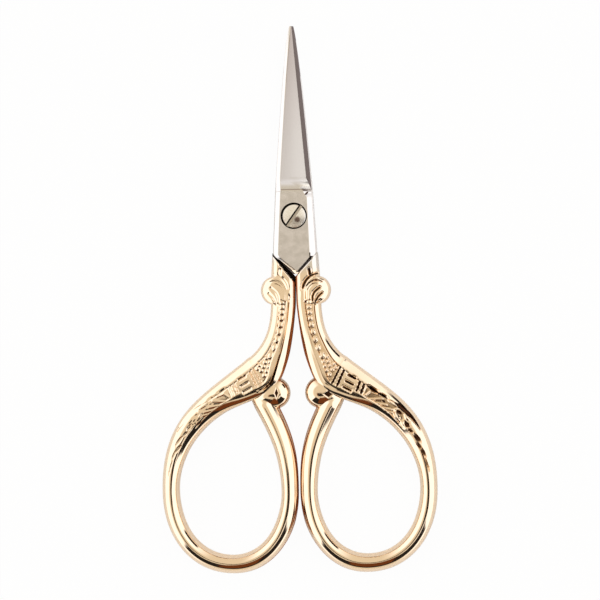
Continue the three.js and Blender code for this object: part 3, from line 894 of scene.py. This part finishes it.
def chamfer(x, y, line):
    """Drop of the handle's face towards a shoulder's edge."""
    point, _, inward = line
    into = (x - point[0]) * inward[0] + (y - point[1]) * inward[1]
    return -np.clip(SHOULDER_CHAMFER - into, 0.0, SHOULDER_CHAMFER)


def shoulder_block(line, bottom, top):
    """What lies on the blade's side of a shoulder between two levels, as a cutter."""
    point, along, inward = line
    aside = along * CUTTER_SIZE
    out = inward * CUTTER_SIZE
    return prism([point - aside, point + aside, point + aside - out, point - aside - out], bottom, top)


def handle(name, rear):
    rings, recess, deep = handle_rings(handle_line())
    inner_end = sum(STATIONS[:BRANCH_SPAN])
    thing = loft(name, rings[:inner_end + 1])
    worked(thing, "UNION", loft("branch", rings[inner_end:]))
    worked(thing, "UNION", ball())
    worked(thing, "DIFFERENCE", shoulder_block(SEAT_LINE, -FACE_GAP / 2, 2 * LIFT))
    worked(thing, "DIFFERENCE", shoulder_block(CLEARANCE_LINE, -2 * LIFT, 0.0))
    tree = KDTree(recess.size)
    for i, point in enumerate(rings.reshape(-1, 3) * MM):
        tree.insert(point, i)
    tree.balance()
    vertices = thing.data.vertices
    nearest = [tree.find(vertex.co) for vertex in vertices]
    # the dimples' depth goes into the recess and paints their dark reflection
    shade(thing, "recess", recess, nearest, [dimple(vertex.co) for vertex in vertices])
    shade(thing, "deep", deep, nearest, [0.0] * len(vertices))
    finished(thing, HANDLE_CREASE, [gilt(), painted_shade()])
    # faces on the ledge and wall that clear the other half's block take the near-black painted shade
    for face in thing.data.polygons:
        face.material_index = int(in_crevice(face))
    return in_place(thing, rear)


def shade(thing, name, values, nearest, least):
    """Gives each point of a piece the value of the nearest point of its swept skin, or a least value."""
    values = values.reshape(-1)
    found = []
    for (_, i, away), low in zip(nearest, least):
        found.append(max(values[i] * (away < SHADE_REACH * MM), low))
    thing.data.attributes.new(name, "FLOAT", "POINT").data.foreach_set("value", found)


def in_crevice(face):
    """Whether a face lies on the ledge or the wall that clears the other half's block."""
    place = face.center / MM
    point, _, inward = CLEARANCE_LINE
    into = (place.x - point[0]) * inward[0] + (place.y - point[1]) * inward[1]
    ledge = abs(place.z) < SLACK and face.normal.z < LEDGE_SLOPE
    wall = abs(into) < SLACK and place.z < 0
    return into < SLACK and (ledge or wall)


# Pivot screw

def pivot_screw(name):
    end = SCREW_RADIUS - SCREW_CHAMFER
    profile = [(0, -LIFT), (end, -LIFT), (SCREW_RADIUS, SCREW_CHAMFER - LIFT)]
    profile += [(SCREW_RADIUS, HEAD_SEAT), (HEAD_RADIUS, HEAD_SEAT)]
    for turn in np.linspace(0, pi / 2, HEAD_ROUND_STEPS):
        radius = HEAD_RADIUS - HEAD_ROUND * (1 - cos(turn))
        profile.append((radius, HEAD_RIM - HEAD_ROUND * (1 - sin(turn))))
    for t in np.linspace(0, 1, HEAD_CROWN_STEPS)[1:]:
        radius = (HEAD_RADIUS - HEAD_ROUND) * (1 - t)
        profile.append((radius, HEAD_RIM + HEAD_CROWN * (1 - (1 - t) ** 2)))
    thing = turned(name, profile, ROUND_SIDES)
    along = np.array((cos(SLOT_ANGLE), sin(SLOT_ANGLE))) * 2 * HEAD_RADIUS
    across = np.array((-sin(SLOT_ANGLE), cos(SLOT_ANGLE))) * SLOT_WIDTH / 2
    corners = [-along - across, along - across, along + across, across - along]
    worked(thing, "DIFFERENCE", prism(corners, HEAD_RIM + HEAD_CROWN - SLOT_DEPTH, 2 * LIFT))
    finished(thing, SCREW_CREASE, [screw_steel()])
    return in_place(thing, False)


# Shaders

class Signal:
    """The value of a socket. Sums on it read as sums and become Math nodes."""

    def __init__(self, shop, socket):
        self.shop = shop
        self.socket = socket

    def __add__(self, other):
        return self.shop.maths("ADD", self, other)

    __radd__ = __add__

    def __sub__(self, other):
        return self.shop.maths("SUBTRACT", self, other)

    def __rsub__(self, other):
        return self.shop.maths("SUBTRACT", other, self)

    def __mul__(self, other):
        return self.shop.maths("MULTIPLY", self, other)

    __rmul__ = __mul__

    def __truediv__(self, other):
        return self.shop.maths("DIVIDE", self, other)


class Shop:
    """The nodes of one material or of the world."""

    def __init__(self, tree):
        self.tree = tree
        tree.nodes.clear()

    def node(self, kind, settings=None, inputs=None, output=0):
        """A new node with its settings and sockets, as the signal of one output where it has any."""
        made = self.tree.nodes.new(kind)
        for name, value in (settings or {}).items():
            setattr(made, name, value)
        for name, value in (inputs or {}).items():
            if isinstance(value, Signal):
                self.tree.links.new(value.socket, made.inputs[name])
            else:
                made.inputs[name].default_value = value
        return Signal(self, made.outputs[output]) if made.outputs else None

    def maths(self, operation, *values):
        return self.node("ShaderNodeMath", {"operation": operation}, dict(enumerate(values)))

    def vector(self, operation, *values, output="Vector"):
        return self.node("ShaderNodeVectorMath", {"operation": operation}, dict(enumerate(values)), output)

    def ease(self, value, low, high, start=0.0, end=1.0):
        """A smooth step of the value from low to high."""
        sockets = {0: value, 1: low, 2: high, 3: start, 4: end}
        return self.node("ShaderNodeMapRange", {"interpolation_type": "SMOOTHSTEP"}, sockets)

    def window(self, value, limits):
        """1 between the two middle limits, 0 past the outer ones."""
        return self.ease(value, *limits[:2]) * self.ease(value, *limits[2:], 1.0, 0.0)

    def blend(self, share, first, second):
        """A colour between two colours."""
        sockets = {0: share, 6: first, 7: second}
        return self.node("ShaderNodeMix", {"data_type": "RGBA"}, sockets, 2)

    def place(self):
        """The surface's own coordinates in metres."""
        return self.node("ShaderNodeTexCoord", output="Object")

    def parts(self, vector):
        split = self.node("ShaderNodeSeparateXYZ", None, {0: vector})
        return [Signal(self, socket) for socket in split.socket.node.outputs]

    def attribute(self, name):
        return self.node("ShaderNodeAttribute", {"attribute_name": name}, output="Fac")

    def noise(self, where, scale, detail=2.0):
        return self.node("ShaderNodeTexNoise", None, {"Vector": where, "Scale": scale, "Detail": detail})

    def grain(self, where, scale):
        """Fine noise, drawn out along one way by a scale for each axis."""
        return self.noise(self.vector("MULTIPLY", where, scale), 1.0, FINE)

    def in_plan(self, vector, spot=(0, 0, 0)):
        """Length of a vector seen from above, from a spot."""
        level = self.vector("MULTIPLY", vector, (1, 1, 0))
        return self.vector("LENGTH", self.vector("SUBTRACT", level, spot), output="Value")

    def bump(self, height, strength):
        sockets = {"Strength": strength, "Distance": BUMP_DEPTH, "Height": height}
        return self.node("ShaderNodeBump", None, sockets)

    def metal(self, colour, roughness, normal):
        sockets = {"Base Color": colour, "Metallic": 1.0, "Roughness": roughness, "Normal": normal}
        return self.node("ShaderNodeBsdfPrincipled", None, sockets)

    def mixed(self, share, first, second):
        """A surface between two surfaces."""
        return self.node("ShaderNodeMixShader", None, {0: share, 1: first, 2: second})

    def output(self, surface, kind="ShaderNodeOutputMaterial"):
        self.node(kind, None, {"Surface": surface})


BUMP_DEPTH = 0.01 * MM
FINE = 3.0  # detail of fine noise
GILT = (0.945, 0.78, 0.612, 1)
# darker, warmer gilt painted into recesses as shade
GILT_SHADED = (0.86, 0.60, 0.36, 1)
# brown matt colour of the handles' painted wall shade
GILT_WALL_SHADE = (0.4, 0.12, 0.035, 1)
# near black: a painted dark reflection in the dimples and the heel's corner speck, and the colour of the
# deepest recesses
NEAR_BLACK = (0.05, 0.02, 0.01, 1)
NICKEL = (0.75, 0.74, 0.77, 1)
NICKEL_WARM = (0.75, 0.71, 0.68, 1)
FLAT = (0.665, 0.643, 0.665, 1)
FLAT_LIGHT = (0.815, 0.79, 0.835, 1)
SATIN = (0.41, 0.375, 0.35, 1)
SATIN_LIGHT = (0.54, 0.51, 0.485, 1)
SATIN_TIP = (0.4, 0.35, 0.33, 1)
# painted sheen and white highlight on the heel's ramp, and painted shade in the crease above it
SATIN_HEEL_SHEEN = (0.7, 0.68, 0.7, 1)
SATIN_HEEL_HIGHLIGHT = (1.0, 0.98, 0.97, 1)
SATIN_CREASE_SHADE = (0.3, 0.24, 0.22, 1)
GROUND = (0.21, 0.185, 0.21, 1)
GROUND_LIGHT = (0.27, 0.24, 0.275, 1)
# near-black colours of the painted shade
SHADE_BLACK = (0.008, 0.006, 0.005, 1)
SHADE_BLACK_LIGHT = (0.03, 0.02, 0.015, 1)
SCREW_BRIGHT = (0.95, 0.93, 0.92, 1)
SCREW_STAIN = (0.62, 0.45, 0.36, 1)
SCREW_RUST = (0.16, 0.07, 0.05, 1)
# near-black painted shade on the screw head's rim
SCREW_RIM = (0.012, 0.01, 0.008, 1)
SLOT_FLOOR = (0.58, 0.53, 0.49, 1)
SLOT_SHADE = (0.015, 0.012, 0.01, 1)


def new_material(name):
    material = bpy.data.materials.new(name)
    material.use_nodes = True
    return material, Shop(material.node_tree)


PLATING = (-9.7 * MM, -7.9 * MM)  # between these levels the front half's gilding thins out to nickel
PLATING_REAR = 1.6 * MM  # how much further up it reaches on the rear half
PLATING_SIDES = (-1.0 * MM, 1.0 * MM)
PLATING_DRIFT = 0.6 * MM  # how far its edge strays
PLATING_BLOTCHES = 700.0  # here and below, how many spots or streaks go on a metre


def gilding(shop, where):
    """1 where the gilding is whole, 0 where it has thinned out to nickel."""
    x, y, _ = shop.parts(where)
    drift = shop.noise(where, PLATING_BLOTCHES) * (2 * PLATING_DRIFT) - PLATING_DRIFT
    rear = shop.ease(x, *PLATING_SIDES, PLATING_REAR, 0.0)
    return shop.ease(y + drift - rear, *PLATING, 1.0, 0.0)


WEAR_AND_SHADE_DEPTH = (0.1, 0.34)  # millimetres of recess over which painted shade darkens the gilding to its shaded colour and wear roughens it
WEAR_AND_SHADE_MOST = 0.8
NEAR_BLACK_DEPTH = (0.22, 0.34)
GILT_CLOUDS = 260.0
GILT_CLOUDED = 0.16
GILT_SMEARS = 900.0
GILT_GRAIN = 5200.0
GILT_BUMP = 0.06
GILT_ROUGHNESS = 0.05  # of the bare finish, and what smears and wear add to it
GILT_SMEARED = 0.06
GILT_RUBBED = 0.12


@cache
def gilt():
    material, shop = new_material("gilt")
    where = shop.place()
    recess = shop.attribute("recess")
    # recesses are painted darker as shade and rubbed rougher
    wear_and_shade = shop.ease(recess, *WEAR_AND_SHADE_DEPTH, 0.0, WEAR_AND_SHADE_MOST)
    gold = shop.blend(wear_and_shade + shop.noise(where, GILT_CLOUDS) * GILT_CLOUDED, GILT, GILT_SHADED)
    plated = shop.blend(gilding(shop, where), NICKEL_WARM, gold)
    # the deepest recesses are darkened to near black; in the balls' dimples this is a painted dark
    # reflection
    colour = shop.blend(shop.ease(recess, *NEAR_BLACK_DEPTH), plated, NEAR_BLACK)
    roughness = GILT_ROUGHNESS + shop.noise(where, GILT_SMEARS) * GILT_SMEARED + wear_and_shade * GILT_RUBBED
    bare = shop.metal(colour, roughness, shop.bump(shop.noise(where, GILT_GRAIN, FINE), GILT_BUMP))
    # walls marked in the deep attribute are painted as a matt brown shade
    wall_shade = shop.node("ShaderNodeBsdfDiffuse", None, {"Color": GILT_WALL_SHADE})
    shop.output(shop.mixed(shop.attribute("deep"), bare, wall_shade))
    return material


NICKEL_STREAKS = (9000.0, 260.0, 9000.0)
NICKEL_CLOUDS = 180.0
NICKEL_BUMP = 0.05
NICKEL_ROUGHNESS = 0.07  # of the bare finish, and what streaks and clouds add to it
NICKEL_STREAKED = 0.08
NICKEL_CLOUDED = 0.05


@cache
def nickel():
    material, shop = new_material("polished nickel")
    where = shop.place()
    streak = shop.grain(where, NICKEL_STREAKS)
    cloud = shop.noise(where, NICKEL_CLOUDS)
    plated = shop.blend(gilding(shop, where), shop.blend(cloud, NICKEL, NICKEL_WARM), GILT)
    roughness = NICKEL_ROUGHNESS + streak * NICKEL_STREAKED + cloud * NICKEL_CLOUDED
    shop.output(shop.metal(corner_reflection(shop, where, plated), roughness, shop.bump(streak, NICKEL_BUMP)))
    return material


# painted dark reflection by the heel's corner, on the front half only
CORNER_REFLECTION = (2.12 * MM, 3.6 * MM)
CORNER_REFLECTION_SIZE = (0.36 * MM, 0.14 * MM)  # half length up towards the edge, half width
CORNER_REFLECTION_FADE = (0.7, 1.4)
CORNER_REFLECTION_ABOVE = (2.9 * MM, 3.1 * MM)
DIAGONAL = sqrt(0.5)


def corner_reflection(shop, where, colour):
    """A colour with a dark reflection painted as a speck in the corner between the heel and the block's
    edge.
    """
    x, y, z = shop.parts(where)
    x = x - CORNER_REFLECTION[0]
    y = y - CORNER_REFLECTION[1]
    length = (x + y) * (DIAGONAL / CORNER_REFLECTION_SIZE[0])
    width = (y - x) * (DIAGONAL / CORNER_REFLECTION_SIZE[1])
    speck = shop.ease(length * length + width * width, *CORNER_REFLECTION_FADE, 1.0, 0.0)
    return shop.blend(speck * shop.ease(z, *CORNER_REFLECTION_ABOVE), colour, NEAR_BLACK)


GROUND_LINES = (1500.0, 9000.0, 1500.0)
GROUND_BUMP = 0.12
GROUND_ROUGHNESS = 0.26
GROUND_LINED = 0.16


@cache
def ground_steel():
    material, shop = new_material("ground steel")
    line = shop.grain(shop.place(), GROUND_LINES)
    colour = shop.blend(line, GROUND, GROUND_LIGHT)
    roughness = GROUND_ROUGHNESS + line * GROUND_LINED
    shop.output(shop.metal(colour, roughness, shop.bump(line, GROUND_BUMP)))
    return material


SATIN_FAN = TIP_REACH * 1.03 * MM  # where the lines that part the blade's darker and lighter sides meet
SATIN_LEAN = (-0.085, 0.06)
SATIN_TIP_FROM = (9 * MM, 31 * MM)
SATIN_HEEL_ENDS = ((HEEL_REACH + 0.6) * MM, (HEEL_REACH + HEEL_RAMP) * MM)
SATIN_HIGHLIGHT_FROM = (0.6 * MM, 2.2 * MM)
SATIN_CREASE_SHADED = 0.7
SATIN_STREAKS = (7000.0, 240.0, 7000.0)
SATIN_CLOUDS = 190.0
SATIN_LEANED = 0.6  # shares of the lighter colour by place, by streaks and by clouds
SATIN_STREAKED = 0.25
SATIN_CLOUDED = 0.15
SATIN_BUMP = 0.06
SATIN_ROUGHNESS = 0.16
SATIN_ROUGHENED = 0.1


@cache
def satin_steel():
    material, shop = new_material("satin steel")
    where = shop.place()
    x, y, z = shop.parts(where)
    streak = shop.grain(where, SATIN_STREAKS)
    lean = shop.ease(x / (SATIN_FAN - y), *SATIN_LEAN)
    cloud = shop.noise(where, SATIN_CLOUDS)
    light = lean * SATIN_LEANED + streak * SATIN_STREAKED + cloud * SATIN_CLOUDED
    even = shop.blend(light, SATIN, SATIN_LIGHT)
    colour = shop.blend(shop.ease(y, *SATIN_TIP_FROM), even, SATIN_TIP)
    # the heel's ramp is painted lighter, with a painted white highlight towards the edge
    edgeward = x * shop.maths("SIGN", z - LIFT * MM)
    heel = shop.blend(shop.ease(edgeward, *SATIN_HIGHLIGHT_FROM), SATIN_HEEL_SHEEN, SATIN_HEEL_HIGHLIGHT)
    colour = shop.blend(shop.ease(y, *SATIN_HEEL_ENDS), heel, colour)
    # a line of painted shade in the crease above the heel
    crease_shade = shop.window(y, [(HEEL_REACH + reach) * MM for reach in HEEL_SHADE_LINE])
    colour = shop.blend(crease_shade * SATIN_CREASE_SHADED, colour, SATIN_CREASE_SHADE)
    roughness = SATIN_ROUGHNESS + streak * SATIN_ROUGHENED
    shop.output(shop.metal(colour, roughness, shop.bump(streak, SATIN_BUMP)))
    return material


FLAT_MOTTLE = 900.0
FLAT_MOTTLE_DETAIL = 4.0
FLAT_MOTTLE_FADE = (0.3, 0.75)
FLAT_BUMP = 0.03
FLAT_ROUGHNESS = 0.12
FLAT_MOTTLED = 0.1


@cache
def brushed_steel():
    material, shop = new_material("brushed steel")
    where = shop.place()
    mottle = shop.noise(where, FLAT_MOTTLE, FLAT_MOTTLE_DETAIL)
    colour = shop.blend(shop.ease(mottle, *FLAT_MOTTLE_FADE), FLAT, FLAT_LIGHT)
    roughness = FLAT_ROUGHNESS + mottle * FLAT_MOTTLED
    shop.output(shop.metal(corner_reflection(shop, where, colour), roughness, shop.bump(mottle, FLAT_BUMP)))
    return material


# Near-black painted shade for the screw's counterbore, a corner of the block's flat and the handles'
# clearance crevice; its blotches are random tone.
SHADE_BLOTCHES = 1400.0
SHADE_GRAIN = 4000.0
SHADE_BUMP = 0.2
SHADE_ROUGHNESS = 0.55


@cache
def painted_shade():
    material, shop = new_material("painted shade")
    where = shop.place()
    colour = shop.blend(shop.noise(where, SHADE_BLOTCHES), SHADE_BLACK, SHADE_BLACK_LIGHT)
    grain = shop.noise(where, SHADE_GRAIN)
    shop.output(shop.metal(colour, SHADE_ROUGHNESS, shop.bump(grain, SHADE_BUMP)))
    return material


RUST = (0.55 * MM, -0.6 * MM, 0)
RUST_FADE = (0.25 * MM, 0.62 * MM)
RUST_MOST = 0.85
HEAD_TILT = (0.07 * MM, -0.06 * MM, 0)  # middle of the bright part of the head
HEAD_BRIGHT = (1.82 * MM, 1.88 * MM)
SLOT_SHADED = ((SLOT_WIDTH / 2 - 0.26) * MM, (SLOT_WIDTH / 2 - 0.18) * MM)  # the wall's shadow on its floor
SLOT_TOP = ((LIFT + HEAD_RIM - 0.3) * MM, (LIFT + HEAD_RIM - 0.1) * MM)
TURNING_MARKS = 60000.0
STAIN_BLOTCHES = 900.0
STAIN_FADE = (0.56, 0.72)
STAIN_MOST = 0.5
SCREW_BUMP = 0.04
SCREW_ROUGHNESS = 0.24
SCREW_STAINED = 0.12


@cache
def screw_steel():
    material, shop = new_material("screw steel")
    where = shop.place()
    x, y, z = shop.parts(where)
    rings = shop.maths("SINE", shop.in_plan(where) * TURNING_MARKS)
    stain = shop.ease(shop.noise(where, STAIN_BLOTCHES), *STAIN_FADE)
    wear_and_shade = shop.blend(stain * STAIN_MOST, SCREW_BRIGHT, SCREW_STAIN)
    wear_and_shade = shop.blend(shop.ease(shop.in_plan(where, RUST), *RUST_FADE, RUST_MOST, 0.0), wear_and_shade, SCREW_RUST)
    # outside the head's bright middle its rim and side are painted near black as shade
    wear_and_shade = shop.blend(shop.ease(shop.in_plan(where, HEAD_TILT), *HEAD_BRIGHT), wear_and_shade, SCREW_RIM)
    across = y * cos(SLOT_ANGLE) - x * sin(SLOT_ANGLE)
    floor = shop.blend(shop.ease(across, *SLOT_SHADED), SLOT_FLOOR, SLOT_SHADE)
    colour = shop.blend(shop.ease(z, *SLOT_TOP), floor, wear_and_shade)
    roughness = SCREW_ROUGHNESS + stain * SCREW_STAINED
    shop.output(shop.metal(colour, roughness, shop.bump(rings, SCREW_BUMP)))
    return material


# Studio

VIEW_TILT = radians(3.5)
VIEW_ROLL = radians(1.07)
VIEW_WIDTH = 97.5 * MM
VIEW_CENTRE = Vector((0.63 * MM, -13.62 * MM, 2.15 * MM))
VIEW_DISTANCE = 0.34
SENSOR = 36.0


def camera():
    data = bpy.data.cameras.new("camera")
    data.sensor_width = SENSOR
    data.lens = SENSOR * VIEW_DISTANCE / VIEW_WIDTH
    thing = bpy.data.objects.new("camera", data)
    bpy.context.scene.collection.objects.link(thing)
    back = Vector((sin(VIEW_TILT), 0, cos(VIEW_TILT)))
    up = Vector((sin(VIEW_ROLL), cos(VIEW_ROLL), 0))
    right = up.cross(back).normalized()
    up = back.cross(right)
    place = VIEW_CENTRE + back * VIEW_DISTANCE
    thing.matrix_world = Matrix((
        (right.x, up.x, back.x, place.x),
        (right.y, up.y, back.y, place.y),
        (right.z, up.z, back.z, place.z),
        (0, 0, 0, 1),
    ))
    bpy.context.scene.camera = thing


def angles(*degrees):
    return tuple(radians(angle) for angle in degrees)


# An opening's limits are where its edge starts and ends on one side, and the same on the other.
LENS_ACROSS = angles(-11, -9, 18, 20)
LENS_RIM_ACROSS = angles(-13.5, -11.5, 20.5, 22.5)
LENS_ALONG = angles(-12.5, -10.5, -4, -2.5)
TENT_TILT = radians(-6)
TENT_RISE = angles(20, 31)
SIDE_SPREAD = (0.26, 0.82)
CARD_TURN = angles(-52, -48, 58, 62)
CARD_RISE = angles(15, 20, 63, 67)
WARM_TURN = angles(16, 20)
WARM_RISE = angles(28, 33, 70, 75)
GAP_TURN = angles(22, 27, 47, 51)
GAP_RISE = angles(-2, 0, 26, 31)
TENT_TOP = (0.84, 0.75, 0.58, 1)
TENT_SIDE = (1.45, 1.43, 1.4, 1)
DARK = (0.02, 0.017, 0.015, 1)
WARM = (0.16, 0.048, 0.014, 1)
FRINGE = (0.3, 0.13, 0.05, 1)  # warm light on both sides of the lens opening
WHITE = (1, 1, 1, 1)
OVERHEAD = 0.0001  # keeps the division by the level length from zero


def tent():
    """A white tent with a dark lens opening, front cards and a dark gap at one side, by direction alone."""
    world = bpy.data.worlds.new("tent")
    bpy.context.scene.world = world
    world.use_nodes = True
    shop = Shop(world.node_tree)
    towards = shop.node("ShaderNodeTexCoord", output="Generated")
    x, y, z = shop.parts(towards)
    off_top = shop.maths("ARCCOSINE", x * sin(TENT_TILT) + z * cos(TENT_TILT))
    aside = shop.maths("ABSOLUTE", x / (shop.in_plan(towards) + OVERHEAD))
    bright = shop.ease(off_top, *TENT_RISE) * shop.ease(aside, *SIDE_SPREAD)
    wall = shop.blend(bright, TENT_TOP, TENT_SIDE)
    across = shop.maths("ARCTAN2", x, z)
    lens_along = shop.window(shop.maths("ARCTAN2", y, z), LENS_ALONG)
    wall = shop.blend(shop.window(across, LENS_RIM_ACROSS) * lens_along, wall, FRINGE)
    wall = shop.blend(shop.window(across, LENS_ACROSS) * lens_along, wall, DARK)
    rise = shop.maths("ARCSINE", z)
    front = shop.maths("ARCTAN2", x, y * -1.0)
    wall = shop.blend(shop.window(front, CARD_TURN) * shop.window(rise, CARD_RISE), wall, DARK)
    middle = shop.ease(shop.maths("ABSOLUTE", front), *WARM_TURN, 1.0, 0.0)
    wall = shop.blend(middle * shop.window(rise, WARM_RISE), wall, WARM)
    turn = shop.maths("ARCTAN2", y, x)
    wall = shop.blend(shop.window(turn, GAP_TURN) * shop.window(rise, GAP_RISE), wall, DARK)
    seen = shop.blend(shop.node("ShaderNodeLightPath", output="Is Camera Ray"), wall, WHITE)
    shop.output(shop.node("ShaderNodeBackground", None, {"Color": seen}), "ShaderNodeOutputWorld")


FLOOR_SIZE = 900.0
FLOOR_DROP = 0.02
FLOOR_WHITE = (0.98, 0.98, 0.98, 1)
FLOOR_MIRRORED = 0.12  # share of its white that the pieces mirror unshaded
FLOOR_SHARE = 0.96  # share of the floor's white that no shadow darkens


def table():
    """A white floor that shows white to the eye and keeps a soft shadow."""
    half = FLOOR_SIZE / 2
    corners = [(x * half, y * half, -FLOOR_DROP) for x, y in ((-1, -1), (1, -1), (1, 1), (-1, 1))]
    thing = solid("floor", corners, [[0, 1, 2, 3]])
    material, shop = new_material("white floor")
    path = shop.node("ShaderNodeLightPath").socket.node.outputs
    seen = Signal(shop, path["Is Camera Ray"]) * FLOOR_SHARE
    mirrored = Signal(shop, path["Is Glossy Ray"]) * FLOOR_MIRRORED
    matt = shop.node("ShaderNodeBsdfDiffuse", None, {"Color": FLOOR_WHITE})
    glow = shop.node("ShaderNodeEmission", None, {"Color": WHITE})
    shop.output(shop.mixed(seen + mirrored, matt, glow))
    thing.data.materials.append(material)


def dress(piece, node, body):
    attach(piece, body)
    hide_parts(node)


bpy.context.scene.view_settings.view_transform = "Standard"
camera()
tent()
table()
dress(blade("front_blade_polished", False), "front_blade", "front_half")
dress(blade("rear_blade_polished", True), "rear_blade", "rear_half")
dress(handle("front_handle_struck", False), "front_handle", "front_half")
dress(handle("rear_handle_struck", True), "rear_handle", "rear_half")
dress(pivot_screw("pivot_screw_turned"), "pivot_screw", "rear_half")
